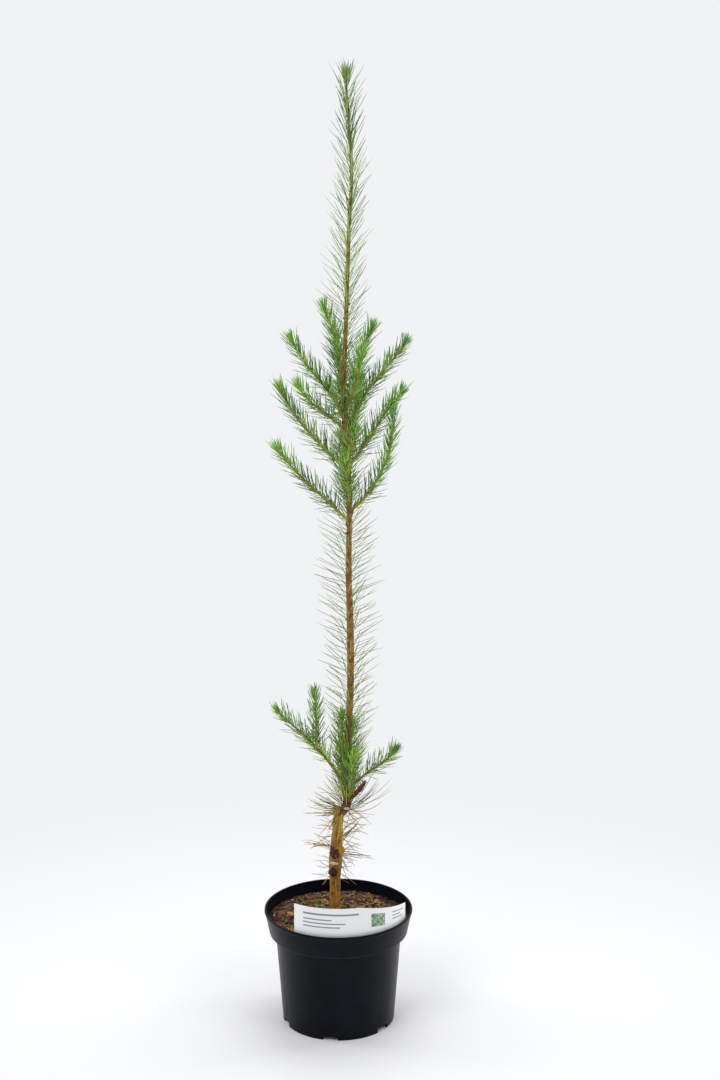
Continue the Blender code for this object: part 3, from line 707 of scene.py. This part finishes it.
scars = (  # height, azimuth, height and width of the mark in metres, how far it stands out
    (0.199, 249, 0.0060, 0.0060, 0.0016),
    (0.212, 256, 0.0018, 0.0050, -0.0006),
    (0.225, 246, 0.0040, 0.0050, 0.0008),
    (0.226, 338, 0.0045, 0.0045, 0.0024),
    (0.214, 150, 0.0050, 0.0050, 0.0014),
    (0.187, 60, 0.0035, 0.0040, 0.0010),
    (0.279, 285, 0.0050, 0.0050, 0.0008),
    (0.262, 230, 0.0030, 0.0036, 0.0009),
    (0.244, 20, 0.0028, 0.0034, 0.0009),
)


def barkRelief(points, out, reach):
    turn = np.arctan2(out[..., 1], out[..., 0])
    z = points[:, 2][:, None] + 0 * turn
    leader = ridged(points, out, reach)
    spots = points[:, None, :] + out * reach[..., None]
    coarse, fine = (
        np.array([noise.noise(Vector(spot)) for spot in spots.reshape(-1, 3) * scale]).reshape(turn.shape)
        for scale in (np.array((260, 260, 110)), np.array((700, 700, 420))))
    ribs = np.cos(9 * turn + 2.2 * np.sin(z * 90) + coarse * 2)
    old = 0.00022 * ribs + 0.00060 * coarse + 0.00030 * fine
    rings = 0.00030 * np.exp(-((((z - 0.138) % 0.019) - 0.009) / 0.0012) ** 2)  # scars of old bud scales
    share = np.clip((z - 0.262) / 0.03, 0, 1)  # none on the old stem, whole on the leader
    swell = np.zeros_like(z)
    for height, azimuth, tall, wide, proud in scars:
        apart = np.angle(np.exp(1j * (turn - math.radians(azimuth)))) * reach
        swell += proud * np.exp(-((z - height) / tall) ** 2 * 1.6 - (apart / wide) ** 2 * 2.2)
    for shoot in shoots.values():  # a collar under each shoot
        apart = np.angle(np.exp(1j * (turn - math.radians(shoot["azimuth"])))) * reach
        swell += 0.0011 * np.exp(-((z - shoot["height"] + 0.001) / 0.0042) ** 2 - (apart / 0.0026) ** 2)
    wobble = 0.00035 * coarse * share
    return (old + rings) * (1 - share) + leader * share + wobble + swell


# Side shoots

shoots = {
    name: dict(height=height, azimuth=azimuth, rise=rise, length=length, bough=bough)
    # Place on the trunk, azimuth, rise at root, middle and tip, length, bare foot
    for name, height, azimuth, rise, length, bough in (
        ("left_1", 0.649, 190, (47, 44, 53), 0.122, 0.022),
        ("left_2", 0.711, 165, (43, 46, 62), 0.127, 0.022),
        ("left_3", 0.759, 205, (56, 36, 59), 0.081, 0.018),
        ("left_4", 0.796, 172, (35, 49, 59), 0.092, 0.018),
        ("left_5", 0.815, 140, (80, 73, 60), 0.092, 0.022),
        ("right_1", 0.662, 8, (36, 66, 90), 0.130, 0.022),
        ("right_2", 0.720, 340, (41, 58, 46), 0.109, 0.020),
        ("right_3", 0.748, 20, (84, 52, 49), 0.136, 0.026),
        ("right_4", 0.782, 42, (55, 72, 53), 0.104, 0.020),
        ("front_1", 0.772, 247, (50, 42, 36), 0.062, 0.012),
        ("front_2", 0.787, 305, (40, 64, 74), 0.078, 0.014),
        ("front_3", 0.722, 284, (41, 46, 51), 0.055, 0.012),
        ("front_4", 0.672, 262, (46, 62, 74), 0.066, 0.014),
        ("back_1", 0.655, 100, (46, 50, 60), 0.105, 0.020),
        ("back_2", 0.728, 76, (48, 54, 62), 0.098, 0.020),
        ("back_3", 0.788, 104, (52, 60, 66), 0.084, 0.016),
        ("low_left", 0.299, 185, (72, 50, 43), 0.137, 0.072),
        ("low_upright", 0.318, 150, (66, 88, 88), 0.078, 0.010),
        ("low_right", 0.303, 350, (60, 37, 50), 0.078, 0.046),
        ("low_front", 0.303, 288, (51, 63, 75), 0.056, 0.010),
        ("low_back", 0.316, 80, (52, 62, 74), 0.066, 0.012),
    )
}
fork = dict(rise=(88, 90, 82), azimuth=200, length=0.064, sidestep=0.0042)
deadShoot = dict(height=0.291, azimuth=325, rise=(34, 50, 55), length=0.040, scales=150)
crown = dict(reach=0.0925, top=1.197)


def shootPath(root, azimuth, rise, length, steps=90):
    # Its rise runs smoothly through the three angles
    low, middle, high = rise
    turn = math.radians(azimuth)
    points = [np.array(root, float)]
    for i in range(steps):
        share = (i + 0.5) / steps
        rising = (low * (1 - share) * (1 - 2 * share) + middle * 4 * share * (1 - share)
                  + high * share * (2 * share - 1))
        angle = math.radians(rising)
        flat = math.cos(angle)
        way = np.array((flat * math.cos(turn), flat * math.sin(turn), math.sin(angle)))
        points.append(points[-1] + way * (length / steps))
    return np.array(points)


def pathOf(shoot):
    side, _ = trunkAt(shoot["height"])
    return shootPath((side, 0, shoot["height"]), shoot["azimuth"], shoot["rise"], shoot["length"])


def shootPaths():
    paths = {name: pathOf(shoot) for name, shoot in shoots.items()}
    low = paths["low_left"]
    share = (shoots["low_left"]["bough"] + 0.004) / shoots["low_left"]["length"]
    root = low[int(share * (len(low) - 1))] + np.array((0, -fork["sidestep"] * 0.4, 0))
    paths["low_left_upright"] = shootPath(root, fork["azimuth"], fork["rise"], fork["length"])
    return paths


def trunkBark():
    # Young larch bark: golden ochre on the old stem with dark patches, red-brown above the bend,
    # paler gold up the leader and olive where the top is still green. Up the leader the colours also carry
    # painted light
    mat, shader = newMaterial("larchBark", Roughness=0.78)
    fleck = grain(mat, shader, 2.6, 0.0004, detail=6.0, roughness=(0.68, 0.9), stretch=(1, 1, 0.35))
    place = addNode(mat, "TexCoord").outputs["Object"]
    height = addNode(mat, "SeparateXYZ", {"Vector": place}).outputs["Z"]
    low, high = 0.13, 1.18
    ends = {"From Min": low, "From Max": high}
    share = addNode(mat, "MapRange", {"Value": height, **ends}).outputs["Result"]
    # Up the leader, and most in the bright orange at 0.716 inside the crown, the colours are partly the bark's
    # own and partly painted light that lifts the needles' shade
    stops = [((z - low) / (high - low), colour) for z, colour in (
        (0.137, "#b8822c"), (0.195, "#b07a24"), (0.235, "#cc9a2e"), (0.268, "#c39034"), (0.282, "#6b3620"),
        (0.312, "#74401f"), (0.345, "#7d5a26"), (0.420, "#a67c32"), (0.560, "#ae7634"), (0.690, "#a37f38"),
        (0.716, "#cc6a26"), (0.760, "#b0873a"), (0.850, "#c0762e"), (0.872, "#a68f36"), (1.000, "#a8984a"),
        (1.170, "#939f4a"))]
    base = addRamp(mat, share, stops)
    patch = addNode(mat, "TexNoise", {"Vector": place, "Scale": perMetre(9), "Detail": 4.0}).outputs["Fac"]
    shade = addRamp(mat, patch, ((0.36, "#8a6a5a"), (0.56, "#ffffff")))
    spotted = addNode(mat, "Mix", {"Factor": 0.75, "A": base, "B": shade}, data_type="RGBA",
                      blend_type="MULTIPLY").outputs["Result"]
    light = addRamp(mat, fleck, ((0.40, "#b8b0a8"), (0.62, "#ffffff")))
    done = addNode(mat, "Mix", {"Factor": 0.7, "A": spotted, "B": light}, data_type="RGBA",
                   blend_type="MULTIPLY").outputs["Result"]
    link(mat, done, shader, "Base Color")
    return mat


def simpleBark(name, dark, light, millimetres=1.6):
    # Thin young bark: smooth, with fine lengthwise streaks
    mat, shader = newMaterial(name, Roughness=0.7)
    fleck = grain(mat, shader, millimetres, 0.0003, detail=5.0, roughness=(0.6, 0.82))
    link(mat, addRamp(mat, fleck, ((0.38, dark), (0.62, light))), shader, "Base Color")
    return mat


def makeTrunk():
    bottom, top = trunk["stations"][0][0] - 0.004, trunk["stations"][-1][0]
    heights = np.arange(bottom, top, trunk["step"])
    path, radii = [], []
    for z in heights:
        side, radius = trunkAt(max(z, trunk["stations"][0][0]))
        path.append((side, 0, z))
        radii.append(radius)
    for far, width in ((0.0010, 0.8), (0.0018, 0.5), (0.0022, 0.15)):  # the top bud closes off
        path.append((path[-1][0], 0, top + far))
        radii.append(trunk["stations"][-1][2] * width)
    vertices, faces = tubeArrays(path, radii, trunk["sides"], barkRelief)
    addPiece("trunk_bark", meshFrom("trunk_bark", vertices, faces), [trunkBark()], ["trunk"], 75)


def makeStub():
    # The old stem ends in a short stub, and the leader starts at its side
    heights = np.arange(stub["low"], stub["high"], 0.0006)
    path = [(stub["place"] - 0.001 * (z - stub["low"]) / 0.02, 0, z) for z in heights]
    radii = [mix(stub["radii"], i / (len(path) - 1)) for i in range(len(path))]
    for width in (0.92, 0.78, 0.55, 0.25):  # a worn, domed end
        path.append((path[-1][0], 0, path[-1][2] + 0.0005))
        radii.append(stub["radii"][1] * width)
    vertices, faces = tubeArrays(path, radii, trunk["sides"], barkRelief)
    addPiece("stem_stub", meshFrom("stem_stub", vertices, faces),
             [simpleBark("oldStubBark", "#8a6224", "#c4953a", 2.2)], (), 75)


def makeScars():
    # Two dark knots with dried resin between them, the golden bump and the pale cut
    kinds = (
        ("knot_lump", 0.1990, 248, (0.0056, 0.0046, 0.0066), -0.0012,
         simpleBark("knotCork", "#1d100b", "#4a2413")),
        ("knot_crust", 0.2235, 246, (0.0074, 0.0026, 0.0086), -0.0010,
         simpleBark("knotCorkUpper", "#2a160d", "#5f3018")),
        ("gold_bump", 0.2262, 338, (0.0040, 0.0040, 0.0046), -0.0006,
         simpleBark("youngCork", "#b07d1f", "#d9a836")),
        ("resin_scar", 0.2105, 254, (0.0050, 0.0017, 0.0017), 0.0006,
         simpleBark("driedResin", "#b9b0a4", "#ece8e2")),
        ("cut_scar", 0.2830, 283, (0.0030, 0.0012, 0.0016), 0.0006,
         simpleBark("cutWood", "#c3a58f", "#eadfd2")),
    )
    for name, height, azimuth, size, out, mat in kinds:
        side, radius = trunkAt(height)
        turn = math.radians(azimuth)
        shape = bmesh.new()
        bmesh.ops.create_icosphere(shape, subdivisions=5, radius=1.0)
        for v in shape.verts:
            lump = (1 + 0.34 * noise.noise(v.co * 2.1 + Vector((azimuth, 0, 0)))
                    + 0.20 * noise.noise(v.co * 5) + 0.16 * noise.noise(v.co * 12))
            v.co *= lump
            along, deep, high = v.co.x * size[0], v.co.y * size[1], v.co.z * size[2]
            far = radius + out + deep
            angle = turn + along / radius
            v.co = Vector((side + far * math.cos(angle), far * math.sin(angle), height + high))
        addPiece(name, meshOf(name, shape), [mat], (), 80)


def makeBoughs(paths):
    # Each shoot's wood runs from inside the trunk to its tip, thinner all the way
    tubes, widths, kinds = [], [], []
    for name, path in paths.items():
        along = np.linspace(0, 1, int(len(path) * 1.6))
        marks = np.linspace(0, 1, len(path))
        fine = np.stack([np.interp(along, marks, path[:, k]) for k in range(3)], axis=1)
        thick = 0.0021 if name.startswith("low") else 0.0020
        radius = thick - (thick - 0.0009) * along ** 0.8
        radius[-3:] *= (0.9, 0.7, 0.35)
        tubes.append(fine)
        widths.append(radius)
        kinds.append(1 if name in ("low_right", "low_left") else 0)
    mesh = joinTubes("shoot_bark", tubes, widths, 14, kinds, ridged)
    materials = [simpleBark("shootBarkGold", "#8f7a34", "#bfa44c"),
                 simpleBark("shootBarkBrown", "#744f24", "#a67836")]
    addPiece("shoot_bark", mesh, materials, ["bough_" + n for n in shoots], 70)


buds = dict(count=66, low=0.31, high=1.15, seed=31)


def makeBuds(paths):
    # Bud scales: small brown domes along the leader and at each shoot's tip
    rule = random.Random(buds["seed"])
    shape = bmesh.new()
    spots = []
    tall = buds["high"] - buds["low"]
    for i in range(buds["count"]):
        height = buds["low"] + tall * (i + rule.random() * 0.6) / buds["count"]
        side, radius = trunkAt(height)
        turn = i * goldenTurn
        out = Vector(level(turn))
        spot = Vector((side, 0, height)) + out * (radius + 0.0002)
        spots.append((spot, out, rule.uniform(0.0008, 0.0013)))
    for name, path in paths.items():
        tip, ahead = Vector(path[-1]), Vector(path[-1] - path[-6]).normalized()
        spots.append((tip, ahead, 0.0012))
    top = Vector((trunk["stations"][-1][1], 0, trunk["stations"][-1][0]))
    spots.append((top + Vector((0, 0, 0.0008)), Vector((0, 0, 1)), 0.0014))
    for spot, out, size in spots:
        turn = (out + Vector((0, 0, 0.35))).normalized().to_track_quat("Z", "Y")
        bud = bmesh.ops.create_uvsphere(shape, u_segments=10, v_segments=7, radius=1.0)["verts"]
        for v in bud:
            v.co = spot + turn @ Vector((v.co.x * size, v.co.y * size, v.co.z * size * 1.5))
    scale = simpleBark("budScale", "#6a3a1c", "#a0682f", 0.8)
    addPiece("buds", meshOf("buds", shape), [scale], (), 80)


# Needles: bent blades, flat above and keeled below, all of a piece joined in one mesh

blade = dict(places=(0.0, 0.10, 0.40, 0.70, 0.90), widths=(0.45, 0.85, 1.0, 0.92, 0.62), keel=0.55)


class Needles:
    def __init__(self):
        self.rows = []

    def add(self, root, way, length, width, bend, kind):
        tip = np.array(root) + unit(way) * length + np.array(bend) * length
        if max(abs(tip[0]), abs(tip[1])) > crown["reach"] or tip[2] > crown["top"]:
            return
        self.rows.append((*root, *unit(way), *bend, length, width, kind))

    def mesh(self, name):
        rows = np.array(self.rows)
        root, way, bend = rows[:, 0:3], rows[:, 3:6], rows[:, 6:9]
        length, width, kind = rows[:, 9], rows[:, 10], rows[:, 11].astype(int)
        side = np.cross(way, up)
        weak = np.linalg.norm(side, axis=1) < 0.05
        side[weak] = (1.0, 0.0, 0.0)
        side = unit(side)
        rings = []
        for t, share in zip(blade["places"], blade["widths"]):
            centre = root + way * (length * t)[:, None] + bend * (length * t * t)[:, None]
            ahead = unit(way + bend * 2 * t)
            across = unit(side - ahead * (side * ahead).sum(axis=1)[:, None])
            above = np.cross(across, ahead)
            half = (width * share / 2)[:, None]
            keel = above * half * 2 * blade["keel"]
            rings += [centre + across * half, centre - across * half, centre - keel]
        rings.append(root + way * length[:, None] + bend * length[:, None])
        corners = np.stack(rings, axis=1)
        per = corners.shape[1]
        pattern = [(0, 1, 2)]
        for i in range(len(blade["places"]) - 1):
            for k in range(3):
                a, b = 3 * i + k, 3 * i + (k + 1) % 3
                pattern.append((a, a + 3, b + 3, b))
        last = 3 * (len(blade["places"]) - 1)
        for k in range(3):
            pattern.append((last + k, per - 1, last + (k + 1) % 3))
        faces, kinds = [], []
        for n in range(len(rows)):
            faces.extend(tuple(n * per + v for v in face) for face in pattern)
            kinds.extend([kind[n]] * len(pattern))
        return meshFrom(name, corners.reshape(-1, 3), faces, kinds)


def needleMaterial(name, colour, rough=0.5):
    # A larch needle is soft and thin with a waxy bloom: a broad, weak sheen and no hard glints.
    # One plain colour each, because sprays of different ones stand side by side.
    mat, shader = newMaterial(name, colour, Roughness=rough, IOR=1.42)
    grain(mat, shader, 1.4, 0.00005, roughness=(rough - 0.06, rough + 0.08))
    return mat


greens = (
    ("needleBright", "#8bc03e"), ("needleGreen", "#659f38"), ("needleDeep", "#437437"),
    ("needleBloom", "#7fa572"), ("needleShade", "#4e7643"), ("needleTip", "#a6d056"),
    ("needleYoung", "#b8bb46"),
)
sideNeedles = dict(spacing=0.00085, lengths=(0.0265, 0.0225), width=0.00115, leans=(58, 36), lift=0.24,
                   tuft=26, tuftLength=0.0175, spray=7, tuftLeans=(8, 34), youngSpacing=0.0012,
                   youngLengths=(0.006, 0.012), youngLeans=(18, 44), seed=101)


def sprayKind(rule, share, low, facing):
    # Bright towards the tips and near the foot, deep in the middle, bloom where the underside shows
    if share > 0.86:
        weights = (34, 22, 8, 10, 4, 22)
    elif low:
        weights = (30, 30, 10, 14, 10, 6)
    elif facing < -0.3:
        weights = (12, 24, 20, 28, 14, 2)
    else:
        weights = (18, 30, 24, 14, 12, 2)
    return rule.choices(range(6), weights)[0]


def around(path, j, turn):
    # A path's direction at a point, and the way out from it at a turn
    ahead = unit(path[j] - path[max(j - 2, 0)])
    side = unit(np.cross(ahead, up) if abs(ahead[2]) < 0.999 else np.array([1.0, 0, 0]))
    return ahead, side * math.cos(turn) + np.cross(side, ahead) * math.sin(turn)


def onShoot(path, along, mark, turn):
    root = np.array([np.interp(mark, along, path[:, c]) for c in range(3)])
    return root, *around(path, min(int(np.searchsorted(along, mark)), len(path) - 1), turn)


def fillShoot(spray, name, path):
    plan = sideNeedles
    rule = random.Random(f"{plan['seed']} {name}")
    steps = np.linalg.norm(np.diff(path, axis=0), axis=1)
    along = np.concatenate([[0], np.cumsum(steps)])
    total = along[-1]
    start = 0.0 if name not in shoots else shoots[name]["bough"] * 0.62 + 0.003
    count = round((total - start) / plan["spacing"])
    kind = 0
    for i in range(count + plan["tuft"]):
        inTuft = i >= count
        share = 0.985 + 0.015 * rule.random() if inTuft else (i + rule.uniform(0.1, 0.9)) / count
        mark = total if inTuft else mix((start, total), share)
        root, ahead, out = onShoot(path, along, mark, i * goldenTurn + rule.uniform(-0.5, 0.5))
        if inTuft:
            lean = math.radians(mix(plan["tuftLeans"], rule.random()))
        else:
            lean = math.radians(mix(plan["leans"], share) + rule.uniform(-11, 11))
        rise = up * (plan["lift"] * rule.uniform(0.4, 1.3))
        way = unit(ahead * math.cos(lean) + out * math.sin(lean) + rise)
        length = plan["tuftLength"] if inTuft else mix(plan["lengths"], share)
        length *= rule.uniform(0.72, 1.12)
        bend = up * rule.uniform(0.02, 0.16) + ahead * rule.uniform(-0.03, 0.10)
        bend = bend - out * rule.uniform(0, 0.05)
        if i % plan["spray"] == 0:
            kind = sprayKind(rule, share, name.startswith("low"), out[2])
        spray.add(root, way, length, plan["width"] * rule.uniform(0.85, 1.12), bend, kind)
    for i in range(round((total - start) / plan["youngSpacing"])):  # short young needles hug the wood
        mark = mix((start * 0.4, total), rule.random())
        root, ahead, out = onShoot(path, along, mark, i * goldenTurn)
        lean = math.radians(rule.uniform(*plan["youngLeans"]))
        way = unit(ahead * math.cos(lean) + out * math.sin(lean))
        length = rule.uniform(*plan["youngLengths"])
        kind = rule.choices((0, 5, 6), (2, 3, 4))[0]
        spray.add(root + out * 0.0011, way, length, plan["width"], up * 0.05, kind)


def makeSideNeedles(paths):
    groups = {"left": [], "right": [], "middle": [], "low": []}
    for name in paths:
        side = name.split("_")[0]
        groups[side if side in groups else "middle"].append(name)
    materials = [needleMaterial(*green) for green in greens]
    for side, names in groups.items():
        spray = Needles()
        for name in names:
            fillShoot(spray, name, paths[name])
        piece = "shoot_needles_" + side
        replaced = ["needles_" + name for name in names]
        addPiece(piece, spray.mesh(piece), materials, replaced, 50)


strands = {
    "leader_needles_top": dict(low=0.868, high=1.170, count=300, length=(0.041, 0.034), lean=(50, 27)),
    "leader_needles_crown": dict(low=0.640, high=0.868, count=270, length=(0.033, 0.038), lean=(50, 46)),
    "leader_needles_middle": dict(low=0.396, high=0.640, count=250, length=(0.041, 0.043), lean=(60, 66)),
    "leader_needles_low": dict(low=0.300, high=0.396, count=190, length=(0.033, 0.038), lean=(46, 52)),
}
leaderNeedles = dict(
    width=0.00105, spray=5, seed=211,
    foot=dict(count=190, heights=(0.284, 0.352), leans=(10, 40), lengths=(0.024, 0.044)),
    tip=dict(count=46, leans=(3, 30), lengths=(0.016, 0.027)),
)
leaderGreens = (
    ("leaderGreen", "#7fa33e"), ("leaderBloom", "#8a9f60"), ("leaderDeep", "#567d3a"),
    ("leaderGrey", "#8e9e68"), ("leaderFresh", "#98b548"), ("leaderYellow", "#adba42"),
)


def outward(turn, lean):
    # The way of a needle from its turn round the stem and its lean from upright
    return np.array((math.cos(turn) * math.sin(lean), math.sin(turn) * math.sin(lean), math.cos(lean)))


def barkRoot(height, turn, depth):
    # Where a needle starts, in the bark. Depth is the share of the radius there.
    side, radius = trunkAt(height)
    return np.array((side, 0, height)) + level(turn) * radius * depth


def fillStrand(spray, rule, strand):
    plan = leaderNeedles
    kind = 0
    for i in range(strand["count"]):
        share = (i + rule.uniform(0, 1)) / strand["count"]
        turn = i * goldenTurn + rule.uniform(-0.4, 0.4)
        way = outward(turn, math.radians(mix(strand["lean"], share) + rule.uniform(-12, 12)))
        root = barkRoot(mix((strand["low"], strand["high"]), share), turn, 0.85)
        length = mix(strand["length"], share) * rule.uniform(0.66, 1.08)
        bend = up * rule.uniform(-0.02, 0.14)
        bend = bend + np.array((rule.uniform(-1, 1), rule.uniform(-1, 1), 0)) * 0.05
        if i % plan["spray"] == 0:
            kind = rule.choices(range(5), (32, 22, 20, 10, 16))[0]
        spray.add(root, way, length, plan["width"] * rule.uniform(0.8, 1.1), bend, kind)


def fillFoot(spray, rule):
    # The bright, crowded foot of the leader
    plan = leaderNeedles["foot"]
    for i in range(plan["count"]):
        height = mix(plan["heights"], rule.random() ** 1.2)
        turn = i * goldenTurn + rule.uniform(-0.3, 0.3)
        way = outward(turn, math.radians(rule.uniform(*plan["leans"])))
        kind = rule.choices((0, 1, 4, 5), (3, 2, 4, 3))[0]
        length = rule.uniform(*plan["lengths"])
        bend = up * rule.uniform(0, 0.1)
        spray.add(barkRoot(height, turn, 0.9), way, length, leaderNeedles["width"], bend, kind)


def fillTip(spray, rule, height):
    # The brush round the top bud
    plan = leaderNeedles["tip"]
    side, _ = trunkAt(height)
    for i in range(plan["count"]):
        way = outward(i * goldenTurn, math.radians(rule.uniform(*plan["leans"])))
        root = np.array((side, 0, height - rule.uniform(0, 0.006)))
        length = rule.uniform(*plan["lengths"])
        spray.add(root, way, length, leaderNeedles["width"], up * 0.02, rule.choice((0, 2, 4)))


def makeLeaderNeedles():
    materials = [needleMaterial(*green) for green in leaderGreens]
    for name, strand in strands.items():
        rule = random.Random(f"{leaderNeedles['seed']} {name}")
        spray = Needles()
        fillStrand(spray, rule, strand)
        if name == "leader_needles_low":
            fillFoot(spray, rule)
        if name == "leader_needles_top":
            fillTip(spray, rule, strand["high"])
        addPiece(name + "_fine", spray.mesh(name), materials, [name], 50)


stemNeedles = {
    "stem_needles_high": dict(low=0.240, high=0.300, count=46, length=(0.034, 0.040), lean=(96, 52)),
    "stem_needles_low": dict(low=0.186, high=0.236, count=32, length=(0.032, 0.040), lean=(110, 62)),
}
strawWidth = 0.0011
middleOfStem = 0.238  # wisps above this height belong to the high piece
wisps = (  # height, azimuth and its spread, rise, curl, lengths, how many, colours
    (0.281, -14, 30, 10, 0.52, (0.036, 0.058), 13, (0, 3, 3, 5)),
    (0.279, -18, 14, -36, -0.05, (0.022, 0.034), 7, (0, 1)),
    (0.280, 186, 34, 6, 0.04, (0.026, 0.044), 16, (0, 2, 3)),
    (0.285, 180, 26, 36, -0.10, (0.030, 0.048), 14, (0, 3, 5)),
    (0.276, 230, 60, -66, 0.02, (0.024, 0.042), 22, (0, 1, 2, 3)),
    (0.244, 10, 50, 24, -0.05, (0.026, 0.040), 9, (2, 3, 4)),
    (0.228, 190, 16, 26, -0.22, (0.034, 0.042), 8, (0, 1, 3)),
    (0.222, -6, 60, 8, -0.20, (0.026, 0.042), 9, (0, 2, 3, 4)),
    (0.218, -20, 70, -20, -0.06, (0.022, 0.040), 7, (4, 5, 2)),
)
straws = (
    ("strawPale", "#c9ad52"), ("strawGold", "#b98e2a"), ("strawTan", "#a17442"),
    ("yellowGreen", "#8d9237"), ("fadedGreen", "#58753f"), ("stemGreen", "#3f6536"),
)


def fillStem(spray, rule, strand):
    # Last year's needles, all round the old stem
    kind = 0
    for i in range(strand["count"]):
        share = (i + rule.random()) / strand["count"]
        turn = i * goldenTurn + rule.uniform(-0.5, 0.5)
        way = outward(turn, math.radians(mix(strand["lean"], share) + rule.uniform(-22, 22)))
        root = barkRoot(mix((strand["low"], strand["high"]), share), turn, 0.9)
        bend = up * rule.uniform(-0.25, 0.25)
        bend = bend + np.array((rule.uniform(-1, 1), rule.uniform(-1, 1), 0)) * 0.25
        if i % 2 == 0:
            kind = rule.choices(range(6), (26, 20, 16, 20, 12, 6))[0]
        length = mix(strand["length"], share) * rule.uniform(0.6, 1.08)
        spray.add(root, way, length, strawWidth * rule.uniform(0.7, 1.1), bend, kind)


def fillWisp(spray, rule, wisp):
    # A loose bundle that starts at one place and scatters
    height, azimuth, spread, rise, curl, lengths, count, kinds = wisp
    for i in range(count):
        place = height + rule.uniform(-0.006, 0.005)
        turn = math.radians(azimuth + rule.uniform(-1, 1) * spread)
        out = level(turn)
        angle = math.radians(rise + rule.gauss(0, 11))
        way = out * math.cos(angle) + up * math.sin(angle)
        aside = np.array((-out[1], out[0], 0)) * rule.uniform(-0.25, 0.25)
        bend = up * (curl + rule.uniform(-0.16, 0.16)) + aside
        length = rule.uniform(*lengths) * rule.choice((0.7, 1.0, 1.0))
        width = rule.uniform(0.0009, 0.0013)
        spray.add(barkRoot(place, turn, 0.9), way, length, width, bend, rule.choice(kinds))


def makeStemNeedles():
    # Yellowing and wispy, some bent back
    materials = [needleMaterial(name, colour, 0.6) for name, colour in straws]
    for name, strand in stemNeedles.items():
        rule = random.Random(f"307 {name}")
        spray = Needles()
        fillStem(spray, rule, strand)
        for wisp in wisps:
            if (wisp[0] > middleOfStem) == name.endswith("high"):
                fillWisp(spray, rule, wisp)
        addPiece(name + "_fine", spray.mesh(name), materials, [name], 50)


def makeDeadShoot():
    # A dried shoot, red-brown and scaly, under short curled scales
    path = pathOf(deadShoot)
    share = np.linspace(0, 1, len(path))
    radius = 0.0012 + 0.0007 * np.sin(share * math.pi) ** 2
    radius[-4:] *= (0.9, 0.75, 0.5, 0.2)
    mat = simpleBark("driedShootBark", "#4a1a10", "#8d3d20", 1.0)
    mesh = joinTubes("dead_twig", [path], [radius], 16, None, ridged)
    addPiece("dead_twig", mesh, [mat], ["dead_shoot"], 70)
    rule = random.Random(401)
    spray = Needles()
    for i in range(deadShoot["scales"]):
        s = 0.30 + 0.70 * (i + rule.random()) / deadShoot["scales"]
        j = min(int(s * (len(path) - 1)), len(path) - 1)
        ahead, out = around(path, j, i * goldenTurn)
        way = unit(ahead + out * rule.uniform(0.25, 1.0))
        root = path[j] + out * radius[j] * 0.7
        length = rule.uniform(0.0028, 0.0070) * mix((0.7, 1.0), math.sin(s * 2.6))
        spray.add(root, way, length, 0.0013, -out * rule.uniform(0, 0.4), rule.randrange(3))
    materials = [simpleBark("driedScaleRed", "#6d2413", "#a24a26", 0.8),
                 simpleBark("driedScaleDark", "#35120b", "#5f2716", 0.8),
                 simpleBark("driedScaleRust", "#8a3a1a", "#bd6a35", 0.8)]
    addPiece("dead_scales", spray.mesh("dead_scales"), materials, (), 50)


makeStudio()
makePot()
makeSoil()
makeChips()
makeFibres()
makeMoss()
makeLabel()
print("pot, mix and label ready")
makeTrunk()
makeStub()
makeScars()
paths = shootPaths()
makeBoughs(paths)
makeBuds(paths)
print("wood ready")
makeSideNeedles(paths)
makeLeaderNeedles()
makeStemNeedles()
makeDeadShoot()
print("needles ready")
